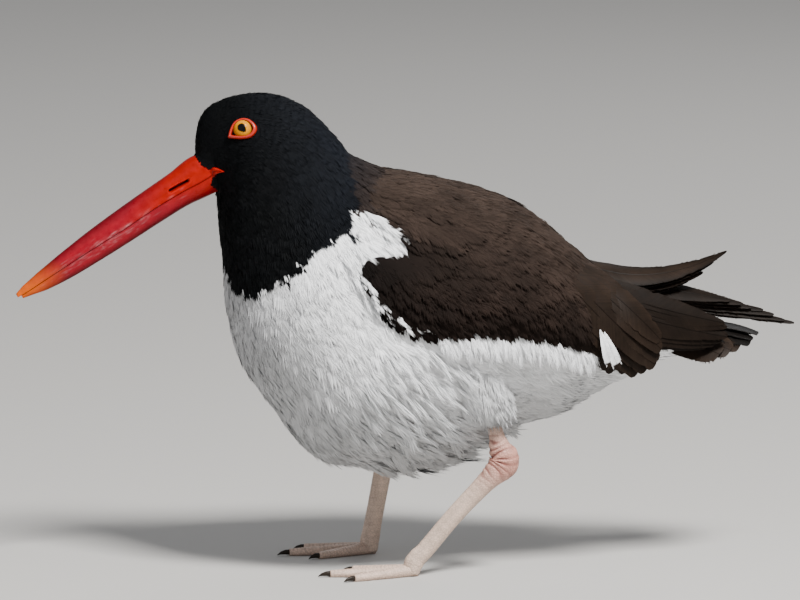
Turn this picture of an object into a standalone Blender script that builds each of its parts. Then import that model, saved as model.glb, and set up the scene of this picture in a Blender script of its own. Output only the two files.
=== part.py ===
"""An adult American oystercatcher, life size, half crouched over its feet, as a still museum model.

Sizes are in millimetres in the bird's own frame: it faces -X, its left side is towards -Y, the
ground is Z = 0. metres() turns them into the file's metres and centres the bird on the origin.
"""

import math
import random

import bmesh
import bpy
import numpy as np

MM = 0.001
FRAME_SHIFT_X = -3.75
GAP = 0.3
SEED = 11

# Body sections from the face to the tail. Each row is a flat cut through the bird:
# upper point X, Z; lower point X, Z; half width; share by which the lower half is wider.
BODY_SECTIONS = (
    (-84.0, 166.5, -77.5, 157.0, 4.6, 0.0),
    (-83.4, 177.9, -74.8, 152.4, 5.8, 0.0),
    (-80.6, 186.4, -74.8, 149.5, 7.0, 0.0),
    (-73.6, 191.6, -75.3, 145.4, 9.4, 0.0),
    (-63.4, 194.3, -74.8, 140.1, 14.6, 0.02),
    (-51.1, 194.0, -74.0, 134.4, 18.2, 0.04),
    (-38.9, 188.9, -73.2, 127.4, 20.6, 0.05),
    (-28.6, 179.6, -72.8, 118.8, 24.0, 0.06),
    (-20.4, 170.6, -72.0, 107.7, 30.5, 0.08),
    (-11.5, 165.6, -67.2, 87.0, 41.0, 0.08),
    (-0.8, 161.8, -55.4, 67.6, 47.0, 0.08),
    (11.5, 157.6, -37.2, 46.2, 50.0, 0.08),
    (24.5, 152.8, -9.5, 39.4, 50.0, -0.04),
    (38.9, 146.6, 16.4, 41.8, 48.0, -0.16),
    (51.1, 139.0, 40.9, 52.8, 44.0, -0.2),
    (62.6, 130.0, 62.6, 59.3, 39.0, -0.12),
    (74.4, 120.5, 81.8, 69.6, 31.0, 0.0),
    (87.9, 110.5, 96.5, 76.2, 23.0, 0.0),
    (101.0, 101.5, 105.5, 82.0, 15.0, 0.0),
)
BODY_ROUNDNESS = 2.15
BODY_SIDES = 36
HEAD_END = 6.35
NECK_END = 8.6
HEAD_ROWS = 15
NECK_ROWS = 7
TORSO_END = 14.4
TORSO_ROWS = 18
RUMP_ROWS = 9

# The bill lies along a straight axis from its hidden root to its tip.
BILL_ROOT = (-72.0, 161.5)
BILL_TIP = (-156.2, 112.7)
# Distance from the root, culmen height, mouth height, lower edge height, half width.
BILL_SECTIONS = (
    (-6.0, 10.0, 1.0, -5.0, 4.6),
    (2.0, 11.4, 1.0, -5.2, 6.2),
    (9.0, 12.6, 1.6, -4.7, 6.2),
    (19.0, 11.3, 2.2, -3.7, 5.3),
    (32.0, 10.4, 2.2, -3.9, 4.6),
    (46.0, 9.3, 1.8, -4.4, 4.0),
    (60.0, 7.9, 1.4, -4.7, 3.4),
    (74.0, 6.0, 0.8, -4.7, 2.7),
    (85.0, 4.2, 0.2, -3.9, 2.0),
    (93.0, 2.6, -0.3, -2.3, 1.4),
    (97.0, 1.2, -0.4, -1.6, 1.0),
)
BILL_ROWS = 22
BILL_SIDES = 7
BILL_ROUNDNESS = 2.3
BILL_LOWER_SHORTER = 1.6
NOSTRIL_FROM_ROOT = 18.7
NOSTRIL_HEIGHT = 5.8
NOSTRIL_SIZE = (9.0, 1.1)
NOSTRIL_DEPTH = 1.0
NOSTRIL_SIDES = 10

EYE_CENTRE = (-66.0, 181.0)
EYE_RADIUS = 4.6
EYE_STAND_OUT = 1.4
# The stretch of the head that is searched for the eye's place: section numbers and degrees from
# the back line, each as first, last and step.
EYE_SECTIONS = (3.0, 5.5, 0.05)
EYE_DEGREES = (30.0, 100.0, 2.0)
LID_HALF_LENGTH = 5.7
LID_HALF_HEIGHT = 4.3
LID_RIM = 1.15
LID_SIDES = 20
# Round the lid ring's section: inset from its outer edge, and distance out from the skin.
LID_PROFILE = ((0.0, -4.4), (0.0, 0.1), (-0.35, 0.75), (-0.8, 0.9), (-LID_RIM, 0.55), (-LID_RIM, -4.4))
SOCKET_DEPTH = 5.2
EYE_DEPTH = 4.4
EYE_RINGS = 9
EYE_SIDES = 16
PLUG_PROUD = 8.0

LEG_SIDE = 30.0
HEEL = (38.2, 46.5)
NEAR_LEG_TOP = (33.8, 62.5)
NEAR_FOOT = (0.5, 5.0)
FAR_LEG_TOP = (-1.2, 43.0)
FAR_FOOT = (-8.5, 5.0)
LEG_SIDES = 12
# Height above the leg's top, depth radius, side radius.
THIGH_ROWS = (
    (0.0, 4.6, 4.2),
    (4.0, 8.5, 7.6),
    (9.0, 12.5, 10.6),
    (15.0, 15.5, 12.6),
    (22.0, 16.5, 12.6),
    (28.0, 14.5, 11.0),
)
THIGH_SIDES = 14
THIGH_LEAN = 0.35
THIGH_OUT = 0.28
TOE_HEIGHT = 2.1
TOE_LENGTHS = (25.0, 33.0, 27.5)
TOE_TURNS = (-27.0, -2.0, 25.0)
TOE_SIDES = 8
# Share of a toe's length from the ankle, and radius.
TOE_PROFILE = ((-0.12, 1.6), (0.0, 2.9), (0.3, 2.5), (0.42, 2.75), (0.68, 2.1), (0.8, 2.3), (1.0, 1.3))
CLAW_LENGTH = 5.0
# Share of a claw's length, half width and height of its axis over the floor.
CLAW_PROFILE = ((0.0, 1.15, 1.45), (0.35, 1.0, 1.5), (0.7, 0.65, 1.15), (1.0, 0.2, 0.55))
ANKLE_NECK = 1.6

# Wing cover on the body's side: body section number, upper edge and lower edge in degrees from
# the back line, and thickness.
WING_COVER = (
    (9.3, 14.0, 84.0, 2.8),
    (10.5, 8.0, 85.0, 4.0),
    (12.0, 6.0, 85.0, 4.8),
    (13.0, 5.0, 82.0, 4.8),
    (14.0, 5.0, 84.0, 4.6),
    (15.0, 5.0, 88.0, 4.2),
    (16.0, 6.0, 92.0, 3.6),
    (16.8, 8.0, 100.0, 2.8),
)
# Share across the wing from its upper edge, and the body section where the cover begins.
WING_FRONT = ((0.0, 9.7), (0.3, 9.3), (0.5, 9.7), (0.66, 10.7), (0.8, 10.0), (0.92, 9.9), (1.0, 10.7))
WING_REAR = ((0.0, 16.8), (0.5, 16.6), (1.0, 15.9))
WING_ROWS = 18
WING_COLUMNS = 11
WING_RIM = 0.8
WING_LIFT = 0.35
WING_ROOM_START = 10.6

# Feathers of the folded wing that lie on its cover, as tiers. Each row: first and last body
# section of the roots, degrees of first and last root, sections and degrees from root to tip,
# height of the root and of the tip over the skin, half width.
COVERT_TIER = (10.9, 14.9, 52.0, 44.0, 1.2, 15.0, 2.2, 5.2, 6.8)
COVERT_COUNT = 6
SECONDARY_TIER = (12.1, 14.5, 70.0, 66.0, 1.6, 21.0, 2.2, 3.0, 6.0)
SECONDARY_COUNT = 5

# Fans of long feathers, from the lowest feather to the highest. Each row: body section and degrees
# of the root, bend X, Y, Z, tip X, Y, Z, half width, and the way its upper face looks X, Y, Z.
NEAR_TERTIALS = (
    (14.3, 62.0, 68.0, -44.0, 103.0, 84.5, -29.5, 82.0, 6.0, 0.1, -1.0, 0.35),
    (14.8, 48.0, 79.0, -41.0, 105.0, 98.5, -28.5, 82.0, 7.0, 0.2, -1.0, 0.45),
    (15.3, 28.0, 86.0, -36.0, 110.0, 102.0, -27.0, 93.0, 6.0, 0.3, -1.0, 0.6),
)
NEAR_TERTIAL_COUNT = 5
NEAR_PRIMARIES = (
    (15.2, 66.0, 92.0, -31.0, 98.0, 114.0, -20.0, 91.5, 4.8, 0.0, -0.9, 0.7),
    (15.4, 57.0, 94.0, -30.0, 101.0, 123.0, -19.0, 95.0, 5.2, 0.0, -0.9, 0.8),
    (15.6, 46.0, 95.0, -28.0, 105.0, 124.0, -18.0, 100.0, 5.0, 0.0, -0.8, 1.0),
)
NEAR_PRIMARY_COUNT = 4
FAR_TERTIALS = (
    (15.6, 46.0, 88.0, 27.0, 105.0, 106.5, 18.0, 107.5, 6.5, 0.0, -0.5, 1.0),
    (15.7, 36.0, 98.0, 22.0, 104.5, 124.5, 15.0, 111.5, 7.0, 0.0, -0.6, 1.0),
    (15.8, 26.0, 104.0, 17.0, 104.0, 135.0, 13.0, 121.5, 5.6, 0.0, -0.8, 1.0),
)
FAR_TERTIAL_COUNT = 5
FAR_PRIMARIES = (
    (15.4, 60.0, 108.0, 19.0, 104.5, 163.5, 10.0, 95.8, 4.8, 0.0, -0.5, 1.0),
    (15.6, 52.0, 106.0, 21.0, 107.0, 138.0, 11.5, 103.0, 5.2, 0.0, -0.5, 1.0),
)
FAR_PRIMARY_COUNT = 5
STACK_STEP = 1.1

TAIL_COUNT = 12
TAIL_CORE_ROWS = 6
TAIL_CORE_SIDES = 16
TAIL_CORE_LENGTH = 24.0
TAIL_CORE_THIN = 0.62
TAIL_ROOT = (108.0, 6.5, 93.0)
TAIL_TIP = (147.0, 20.0, 91.0)
TAIL_RISE = 8.0
TAIL_SHORTER = 19.0
TAIL_DROP = 3.0
TAIL_HALF_WIDTH = 7.5
TAIL_LEAN = 0.75

VANE_SHAFT = 1.2
VANE_EDGE = 0.6
VANE_CAMBER = 0.14
VANE_CROWDING = 1.25
VANE_ROOT_SHARE = 0.5
VANE_ROOT_HEIGHT = 2.3

PLUMAGE_BLACK = (0.012, 0.013, 0.015)
PLUMAGE_BROWN = (0.045, 0.034, 0.027)
PLUMAGE_DARK = (0.020, 0.016, 0.013)
PLUMAGE_WHITE = (0.72, 0.71, 0.69)
BILL_RED = (0.78, 0.10, 0.03)
LID_RED = (0.75, 0.09, 0.02)
IRIS_GOLD = (0.80, 0.36, 0.03)
LEG_PINK = (0.66, 0.49, 0.42)
CLAW_DARK = (0.05, 0.04, 0.035)


def metres(points):
    """Turns an array of points in millimetres into centred metres."""
    moved = np.array(points, float)
    moved[..., 0] += FRAME_SHIFT_X
    return moved * MM


def material(name, colour, roughness, metallic=0.0):
    """One plain surface finish."""
    made = bpy.data.materials.get(name) or bpy.data.materials.new(name)
    made.use_nodes = True
    shader = made.node_tree.nodes["Principled BSDF"]
    shader.inputs["Base Color"].default_value = (*colour, 1.0)
    shader.inputs["Roughness"].default_value = roughness
    shader.inputs["Metallic"].default_value = metallic
    return made


def add_object(name, points, faces, finish=None):
    """Makes a closed object from points in millimetres, with its faces turned outwards."""
    mesh = bpy.data.meshes.new(name)
    mesh.from_pydata([tuple(p) for p in metres(points)], [], faces)
    shape = bmesh.new()
    shape.from_mesh(mesh)
    bmesh.ops.recalc_face_normals(shape, faces=shape.faces)
    if shape.calc_volume(signed=True) < 0:
        bmesh.ops.reverse_faces(shape, faces=shape.faces)
    shape.to_mesh(mesh)
    shape.free()
    mesh.shade_smooth()
    mesh.set_sharp_from_angle(angle=math.radians(45))
    if finish:
        mesh.materials.append(finish)
    made = bpy.data.objects.new(name, mesh)
    bpy.context.scene.collection.objects.link(made)
    return made


def tube_faces(rows, sides, first=0):
    """Quads between rings of points, with a flat cap at each end."""
    faces = []
    for row in range(rows - 1):
        for side in range(sides):
            a = first + row * sides + side
            b = first + row * sides + (side + 1) % sides
            faces.append((a, b, b + sides, a + sides))
    faces.append(tuple(first + side for side in range(sides))[::-1])
    faces.append(tuple(first + (rows - 1) * sides + side for side in range(sides)))
    return faces


def smooth_row(table, position):
    """Reads a table of sizes between its rows on a smooth curve through them."""
    table = np.array(table, float)
    last = len(table) - 1
    position = min(max(position, 0.0), float(last))
    i = min(int(position), last - 1)
    t = position - i
    before = table[max(i - 1, 0)]
    a, b = table[i], table[i + 1]
    after = table[min(i + 2, last)]
    slope_a = (b - before) / (2.0 if i > 0 else 1.0)
    slope_b = (after - a) / (2.0 if i + 2 <= last else 1.0)
    t2, t3 = t * t, t * t * t
    return (
        a * (2 * t3 - 3 * t2 + 1)
        + slope_a * (t3 - 2 * t2 + t)
        + b * (3 * t2 - 2 * t3)
        + slope_b * (t3 - t2)
    )


def keyed_row(table, key):
    """Reads a table whose first column is a key that grows, at any key."""
    keys = [row[0] for row in table]
    index = float(np.interp(key, keys, range(len(keys))))
    return smooth_row(table, index)


def power(value, roundness):
    """A signed power, which turns a circle into a squarer or rounder section."""
    return math.copysign(abs(value) ** (2.0 / roundness), value)


def body_ring_point(section, degrees):
    """A point of a body section; 0 degrees is the back line, 180 the belly line."""
    top_x, top_z, low_x, low_z, half_width, lower_share = section
    turn = math.radians(degrees)
    up = power(math.cos(turn), BODY_ROUNDNESS)
    out = power(math.sin(turn), BODY_ROUNDNESS)
    x = (top_x + low_x) / 2 + (top_x - low_x) / 2 * up
    z = (top_z + low_z) / 2 + (top_z - low_z) / 2 * up
    return np.array((x, -half_width * out * (1 - lower_share * up), z))


def body_point(position, degrees):
    """The body's surface at a section number and an angle; positive angles are its left side."""
    return body_ring_point(smooth_row(BODY_SECTIONS, position), degrees)


def body_normal(position, degrees):
    """The way out of the body at a point of its surface."""
    step = 0.02
    along = body_point(position + step, degrees) - body_point(position - step, degrees)
    around = body_point(position, degrees + 1.0) - body_point(position, degrees - 1.0)
    out = np.cross(along, around)
    out /= np.linalg.norm(out)
    centre = (body_point(position, 0.0) + body_point(position, 180.0)) / 2
    return out if np.dot(out, body_point(position, degrees) - centre) > 0 else -out


def section_way(position):
    """The direction towards the tail, square to a body section's plane."""
    top_x, top_z, low_x, low_z = smooth_row(BODY_SECTIONS, position)[:4]
    way = np.array((top_z - low_z, 0.0, low_x - top_x))
    return way / np.linalg.norm(way)


def body_length(name, start, end, rows, finish, gap_at_start, gap_at_end):
    """One length of the body between two sections, with flat cut ends."""
    points = []
    for row in range(rows):
        position = start + (end - start) * row / (rows - 1)
        ring = [body_point(position, 360.0 * k / BODY_SIDES) for k in range(BODY_SIDES)]
        if row == 0:
            ring = [p + section_way(start) * gap_at_start for p in ring]
        if row == rows - 1:
            ring = [p - section_way(end) * gap_at_end for p in ring]
        points += ring
    return add_object(name, points, tube_faces(rows, BODY_SIDES), finish)


def apply_cut(target, others, operation, solver="EXACT"):
    """Joins or cuts target with closed objects in one Boolean, applies it and removes them."""
    group = bpy.data.collections.new("tools_" + target.name)
    bpy.context.scene.collection.children.link(group)
    for other in others:
        for home in list(other.users_collection):
            home.objects.unlink(other)
        group.objects.link(other)
    cut = target.modifiers.new("cut", "BOOLEAN")
    cut.operation = operation
    cut.operand_type = "COLLECTION"
    cut.collection = group
    cut.solver = solver
    bpy.context.view_layer.update()
    seen = target.evaluated_get(bpy.context.evaluated_depsgraph_get())
    result = bpy.data.meshes.new_from_object(seen)
    target.modifiers.remove(cut)
    old = target.data
    target.data = result
    bpy.data.meshes.remove(old)
    for other in others:
        bpy.data.objects.remove(other)
    bpy.data.collections.remove(group)
    keep_largest(target)


def keep_largest(target):
    """Leaves the object's largest closed surface, merged and in triangles."""
    shape = bmesh.new()
    shape.from_mesh(target.data)
    bmesh.ops.remove_doubles(shape, verts=shape.verts, dist=1e-6)
    bmesh.ops.dissolve_degenerate(shape, edges=shape.edges, dist=1e-6)
    left = set(shape.faces)
    parts = []
    while left:
        found = [left.pop()]
        for face in found:
            for edge in face.edges:
                for near in edge.link_faces:
                    if near in left:
                        left.remove(near)
                        found.append(near)
        parts.append(found)
    parts.sort(key=lambda part: sum(face.calc_area() for face in part))
    loose = [face for part in parts[:-1] for face in part]
    bmesh.ops.delete(shape, geom=loose, context="FACES")
    alone = [v for v in shape.verts if not v.link_faces]
    bmesh.ops.delete(shape, geom=alone, context="VERTS")
    shape.to_mesh(target.data)
    shape.free()
    target.data.shade_smooth()
    target.data.set_sharp_from_angle(angle=math.radians(45))


def limb(name, path, finish=None, sides=LEG_SIDES):
    """A tapered round limb. Each row of path is X, Y, Z, depth radius, side radius."""
    rows = np.array(path, float)
    centres = rows[:, :3]
    points = []
    for i, row in enumerate(rows):
        along = centres[min(i + 1, len(rows) - 1)] - centres[max(i - 1, 0)]
        along /= np.linalg.norm(along)
        side = np.cross(along, np.cross((0.0, 1.0, 0.0), along))
        side /= np.linalg.norm(side)
        depth = np.cross(along, side)
        for k in range(sides):
            turn = 2 * math.pi * k / sides
            points.append(centres[i] + depth * row[3] * math.cos(turn) + side * row[4] * math.sin(turn))
    return add_object(name, points, tube_faces(len(rows), sides), finish)


def bill_axes():
    """The bill's root, its forward direction and its upward direction."""
    root = np.array((BILL_ROOT[0], 0.0, BILL_ROOT[1]))
    forward = np.array((BILL_TIP[0], 0.0, BILL_TIP[1])) - root
    forward /= np.linalg.norm(forward)
    return root, forward, np.array((forward[2], 0.0, -forward[0]))


def bill_half(name, upper, grow, finish=None):
    """The upper or lower mandible; grow makes the larger copy that cuts its seat in the head."""
    root, forward, up = bill_axes()
    start = BILL_SECTIONS[0][0] - grow
    end = BILL_SECTIONS[-1][0] - (0.0 if upper else BILL_LOWER_SHORTER)
    points = []
    for row in range(BILL_ROWS):
        share = row / (BILL_ROWS - 1)
        along = start + (end - start) * share
        _, culmen, mouth, lower, width = keyed_row(BILL_SECTIONS, along)
        edge = mouth + GAP / 2 - grow if upper else mouth - GAP / 2 + grow
        crest = culmen + grow if upper else lower - grow
        for k in range(BILL_SIDES):
            turn = math.pi * k / (BILL_SIDES - 1)
            y = (width + grow) * power(math.cos(turn), BILL_ROUNDNESS)
            rise = power(math.sin(turn), BILL_ROUNDNESS) if 0 < k < BILL_SIDES - 1 else 0.0
            height = edge + (crest - edge) * rise
            points.append(root + forward * along + up * height + np.array((0.0, y, 0.0)))
    return add_object(name, points, tube_faces(BILL_ROWS, BILL_SIDES), finish)


def nostril_cutter(side):
    """A slit-shaped tool that sinks one nostril into the upper mandible."""
    root, forward, up = bill_axes()
    width = keyed_row(BILL_SECTIONS, NOSTRIL_FROM_ROOT)[4]
    centre = root + forward * NOSTRIL_FROM_ROOT + up * NOSTRIL_HEIGHT
    points = []
    for reach in (width - NOSTRIL_DEPTH, width + 2.0):
        for k in range(NOSTRIL_SIDES):
            turn = 2 * math.pi * k / NOSTRIL_SIDES
            flat = forward * math.cos(turn) * NOSTRIL_SIZE[0] / 2
            flat = flat + up * math.sin(turn) * NOSTRIL_SIZE[1] / 2
            points.append(centre + flat + np.array((0.0, side * reach, 0.0)))
    return add_object("nostril_tool", points, tube_faces(2, NOSTRIL_SIDES))


def eye_frame(side):
    """The eye's place on the head's side, and its outward, forward and upward directions."""
    sections = np.arange(*EYE_SECTIONS)
    places = [(section, degrees) for section in sections for degrees in np.arange(*EYE_DEGREES)]
    best = min(places, key=lambda at: math.dist(body_point(*at)[::2], EYE_CENTRE))
    place = body_point(*best)
    out = body_normal(*best)
    if side > 0:
        place[1] *= -1
        out[1] *= -1
    forward = np.cross((0.0, 0.0, 1.0), out)
    forward /= np.linalg.norm(forward)
    if forward[0] > 0:
        forward = -forward
    up = np.cross(forward, out)
    return place, out, forward, -up if up[2] < 0 else up


def oval_plug(name, side, grow, depth, proud):
    """An oval tool set square to the head at the eye, from depth inside to proud outside."""
    place, out, forward, up = eye_frame(side)
    points = []
    for reach in (-depth, proud):
        for k in range(LID_SIDES):
            turn = 2 * math.pi * k / LID_SIDES
            oval = forward * math.cos(turn) * (LID_HALF_LENGTH + grow)
            oval = oval + up * math.sin(turn) * (LID_HALF_HEIGHT + grow)
            points.append(place + out * reach + oval)
    return add_object(name, points, tube_faces(2, LID_SIDES))


def eyeball(name, side, grow, finish=None):
    """A ball set into the lids."""
    place, out, forward, up = eye_frame(side)
    centre = place + out * (EYE_STAND_OUT - EYE_RADIUS)
    radius = EYE_RADIUS + grow
    rings, sides = EYE_RINGS, EYE_SIDES
    points = []
    for i in range(rings):
        slope = math.pi * (i + 0.5) / rings
        for k in range(sides):
            turn = 2 * math.pi * k / sides
            flat = forward * math.cos(turn) + up * math.sin(turn)
            points.append(centre + out * radius * math.cos(slope) + flat * radius * math.sin(slope))
    return add_object(name, points, tube_faces(rings, sides), finish)


def lids(name, side, finish):
    """The fleshy ring of the lids: an oval collar round the eyeball, domed on its outside."""
    place, out, forward, up = eye_frame(side)
    sides = LID_SIDES
    points = []
    for inset, reach in LID_PROFILE:
        for k in range(sides):
            turn = 2 * math.pi * k / sides
            oval = forward * math.cos(turn) * (LID_HALF_LENGTH + inset * 1.25)
            oval = oval + up * math.sin(turn) * (LID_HALF_HEIGHT + inset)
            points.append(place + out * reach + oval)
    faces = []
    rows = len(LID_PROFILE)
    for row in range(rows):
        for k in range(sides):
            a = row * sides + k
            b = row * sides + (k + 1) % sides
            c = ((row + 1) % rows) * sides + (k + 1) % sides
            d = ((row + 1) % rows) * sides + k
            faces.append((a, b, c, d))
    return add_object(name, points, faces, finish)


def make_head():
    """The head with its lids, eyes and the seat of the bill."""
    black = material("plumage_black", PLUMAGE_BLACK, 0.75)
    head = body_length("head", 0.0, HEAD_END, HEAD_ROWS, black, 0.0, GAP / 2)
    seats = [bill_half("seat_upper", True, GAP), bill_half("seat_lower", False, GAP)]
    apply_cut(head, seats, "DIFFERENCE")
    for side, word in ((-1, "left"), (1, "right")):
        apply_cut(head, [oval_plug("socket", side, GAP, SOCKET_DEPTH, PLUG_PROUD)], "DIFFERENCE")
        ring = lids("lids_" + word, side, material("lid_red", LID_RED, 0.45))
        apply_cut(ring, [eyeball("eye_room", side, GAP)], "DIFFERENCE")
        eye = eyeball("eye_" + word, side, 0.0, material("iris_gold", IRIS_GOLD, 0.08))
        apply_cut(eye, [oval_plug("eye_back", side, -LID_RIM - GAP, EYE_DEPTH, PLUG_PROUD)], "INTERSECT")


def make_bill():
    """Both mandibles, parted along the mouth line, and the nostrils."""
    red = material("bill_red", BILL_RED, 0.35)
    upper = bill_half("bill_upper", True, 0.0, red)
    apply_cut(upper, [nostril_cutter(-1), nostril_cutter(1)], "DIFFERENCE")
    bill_half("bill_lower", False, 0.0, red)


def wing_cover(name, side, finish):
    """The plumage of the folded wing: a shell that lies on the body's side."""
    grid = []
    for layer in (0, 1):
        for row in range(WING_ROWS):
            along = row / (WING_ROWS - 1)
            end_fade = min(1.0, 6.0 * along, 5.0 * (1 - along) + 0.4)
            for column in range(WING_COLUMNS):
                share = column / (WING_COLUMNS - 1)
                front = keyed_row(WING_FRONT, share)[1]
                position = front + (keyed_row(WING_REAR, share)[1] - front) * along
                _, upper, lower, thick = keyed_row(WING_COVER, position)
                degrees = upper + (lower - upper) * share
                edge_fade = min(1.0, 6.0 * share, 5.0 * (1 - share))
                full = WING_RIM + (thick - WING_RIM) * math.sqrt(max(0.0, min(edge_fade, end_fade)))
                offset = GAP + WING_LIFT + layer * full
                point = body_point(position, degrees) + body_normal(position, degrees) * offset
                point[1] *= -side
                grid.append(point)
    layer_size = WING_ROWS * WING_COLUMNS
    faces = []
    for row in range(WING_ROWS - 1):
        for column in range(WING_COLUMNS - 1):
            a = row * WING_COLUMNS + column
            quad = (a, a + 1, a + WING_COLUMNS + 1, a + WING_COLUMNS)
            for corner in ((0, 1, 2), (0, 2, 3)):
                inner = tuple(quad[c] for c in corner)
                faces.append(inner[::-1])
                faces.append(tuple(layer_size + v for v in inner))
    rim = [column for column in range(WING_COLUMNS)]
    rim += [row * WING_COLUMNS + WING_COLUMNS - 1 for row in range(1, WING_ROWS)]
    rim += [(WING_ROWS - 1) * WING_COLUMNS + c for c in range(WING_COLUMNS - 2, -1, -1)]
    rim += [row * WING_COLUMNS for row in range(WING_ROWS - 2, 0, -1)]
    for a, b in zip(rim, rim[1:] + rim[:1]):
        faces.append((a, b, layer_size + b, layer_size + a))
    return add_object(name, grid, faces, finish)


def curve_point(path, t):
    """A point on the quadratic curve through three control points."""
    a, b, c = (np.array(p, float) for p in path)
    return a * (1 - t) ** 2 + b * 2 * t * (1 - t) + c * t * t


def vane(path, half_width, out, tip=0.35, taper=5.0, steps=5):
    """One long feather: a cambered blade with a raised shaft, along a curve to a tapered tip."""
    out = np.array(out, float)
    out /= np.linalg.norm(out)
    points = []
    for i in range(steps + 1):
        t = 1 - (1 - i / steps) ** VANE_CROWDING
        centre = curve_point(path, t)
        along = curve_point(path, min(t + 0.02, 1.0)) - curve_point(path, max(t - 0.02, 0.0))
        along /= np.linalg.norm(along)
        side = np.cross(out, along)
        side /= np.linalg.norm(side)
        up = np.cross(along, side)
        wide = half_width * min(1.0, VANE_ROOT_SHARE + 2.2 * t) * (1 - (1 - tip) * t ** taper)
        shaft = VANE_SHAFT / 2 * (1 - 0.5 * t)
        edge = VANE_EDGE / 2 * (1 - 0.3 * t)
        camber = VANE_CAMBER * wide
        for reach, height in ((1, edge - camber), (0, shaft), (-1, edge - camber)):
            points.append(centre + side * wide * reach + up * height)
        for reach, height in ((-1, -edge - camber), (0, -shaft), (1, -edge - camber)):
            points.append(centre + side * wide * reach + up * height)
    return add_object("vane", points, vane_faces(steps))


def vane_faces(steps):
    """Triangles of a vane, split alike on its upper and lower faces, with closed ends."""
    faces = []
    for i in range(steps):
        for k in range(6):
            a, b = i * 6 + k, i * 6 + (k + 1) % 6
            c, d = b + 6, a + 6
            if k in (0, 4):
                faces += [(a, b, c), (a, c, d)]
            else:
                faces += [(a, b, d), (b, c, d)]
    last = steps * 6
    faces += [(0, 5, 4, 1), (1, 4, 3, 2)]
    faces += [(last, last + 1, last + 4, last + 5), (last + 1, last + 2, last + 3, last + 4)]
    return faces


def on_skin(side, position, degrees, height):
    """A point over the body's skin, on its left side (-1) or its right side (1)."""
    point = body_point(position, degrees) + body_normal(position, degrees) * height
    return point * (1, -side, 1)


def varied(value, amount):
    """A size changed a little, as no two feathers are alike."""
    return value * (1 + random.uniform(-amount, amount))


def tier(side, row, count):
    """One tier of shorter feathers on the folded wing, each overlapping the one behind it."""
    first, last, start, end, length, drop, low, high, half_width = row
    vanes = []
    for k in range(count):
        share = k / (count - 1)
        position = first + (last - first) * share
        degrees = start + (end - start) * share
        reach = varied(length, 0.08)
        path = (
            on_skin(side, position, degrees, low),
            on_skin(side, position + reach * 0.5, degrees + drop * 0.45, (low + high) / 2 + 0.8),
            on_skin(side, position + reach, degrees + varied(drop, 0.1), high),
        )
        middle = position + reach * 0.6
        out = on_skin(side, middle, degrees, 1.0) - on_skin(side, middle, degrees, 0.0)
        vanes.append(vane(path, half_width, out, steps=4))
    return vanes


def fan(side, rows, count, tip, taper):
    """Long feathers read from a few rows, each lying a little over the one below it."""
    vanes = []
    for k in range(count):
        row = smooth_row(rows, k * (len(rows) - 1) / (count - 1))
        out = row[9:12] / np.linalg.norm(row[9:12])
        lift = out * STACK_STEP * (k - (count - 1) / 2)
        wobble = np.array([random.uniform(-1.0, 1.0) for _ in range(3)])
        root = on_skin(side, row[0], row[1], VANE_ROOT_HEIGHT)
        path = (root, row[2:5] + lift, row[5:8] + lift + wobble)
        vanes.append(vane(path, varied(row[8], 0.06), out, tip, taper))
    return vanes


def wing_room():
    """The body under the wings and the tail's core, swollen by the gap, which the wings stay clear of."""
    end = len(BODY_SECTIONS) - 1.0
    rooms = [
        body_length("wing_room", WING_ROOM_START, end, TORSO_ROWS, None, 0.0, -GAP),
        tail_core("tail_room", None),
    ]
    for room in rooms:
        swell(room, GAP)
    return rooms


def make_wings():
    """Both folded wings: the cover of small feathers and the tiers and fans of long ones."""
    brown = material("plumage_brown", PLUMAGE_BROWN, 0.7)
    fans = {
        -1: (
            (NEAR_TERTIALS, NEAR_TERTIAL_COUNT, 0.35, 5.0),
            (NEAR_PRIMARIES, NEAR_PRIMARY_COUNT, 0.15, 2.4),
        ),
        1: (
            (FAR_TERTIALS, FAR_TERTIAL_COUNT, 0.2, 3.0),
            (FAR_PRIMARIES, FAR_PRIMARY_COUNT, 0.12, 2.4),
        ),
    }
    for side, word in ((-1, "left"), (1, "right")):
        wing = wing_cover("wing_" + word, side, brown)
        vanes = tier(side, SECONDARY_TIER, SECONDARY_COUNT) + tier(side, COVERT_TIER, COVERT_COUNT)
        for rows, count, tip, taper in fans[side]:
            vanes += fan(side, rows, count, tip, taper)
        apply_cut(wing, vanes, "UNION")
        apply_cut(wing, wing_room(), "DIFFERENCE")


def tail_core(name, finish):
    """The short flattened stump that the tail feathers grow from."""
    rows = TAIL_CORE_ROWS
    sides = TAIL_CORE_SIDES
    last = smooth_row(BODY_SECTIONS, len(BODY_SECTIONS) - 1)
    way = section_way(len(BODY_SECTIONS) - 1)
    centre = (body_ring_point(last, 0.0) + body_ring_point(last, 180.0)) / 2
    points = []
    for row in range(rows):
        share = row / (rows - 1)
        thin = 1 - TAIL_CORE_THIN * share ** 1.3
        for k in range(sides):
            ring = body_ring_point(last, 360.0 * k / sides) - centre
            shrink = np.array((thin, 1 - 0.1 * share, thin))
            points.append(centre + ring * shrink + way * (GAP + TAIL_CORE_LENGTH * share))
    return add_object(name, points, tube_faces(rows, sides), finish)


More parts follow.
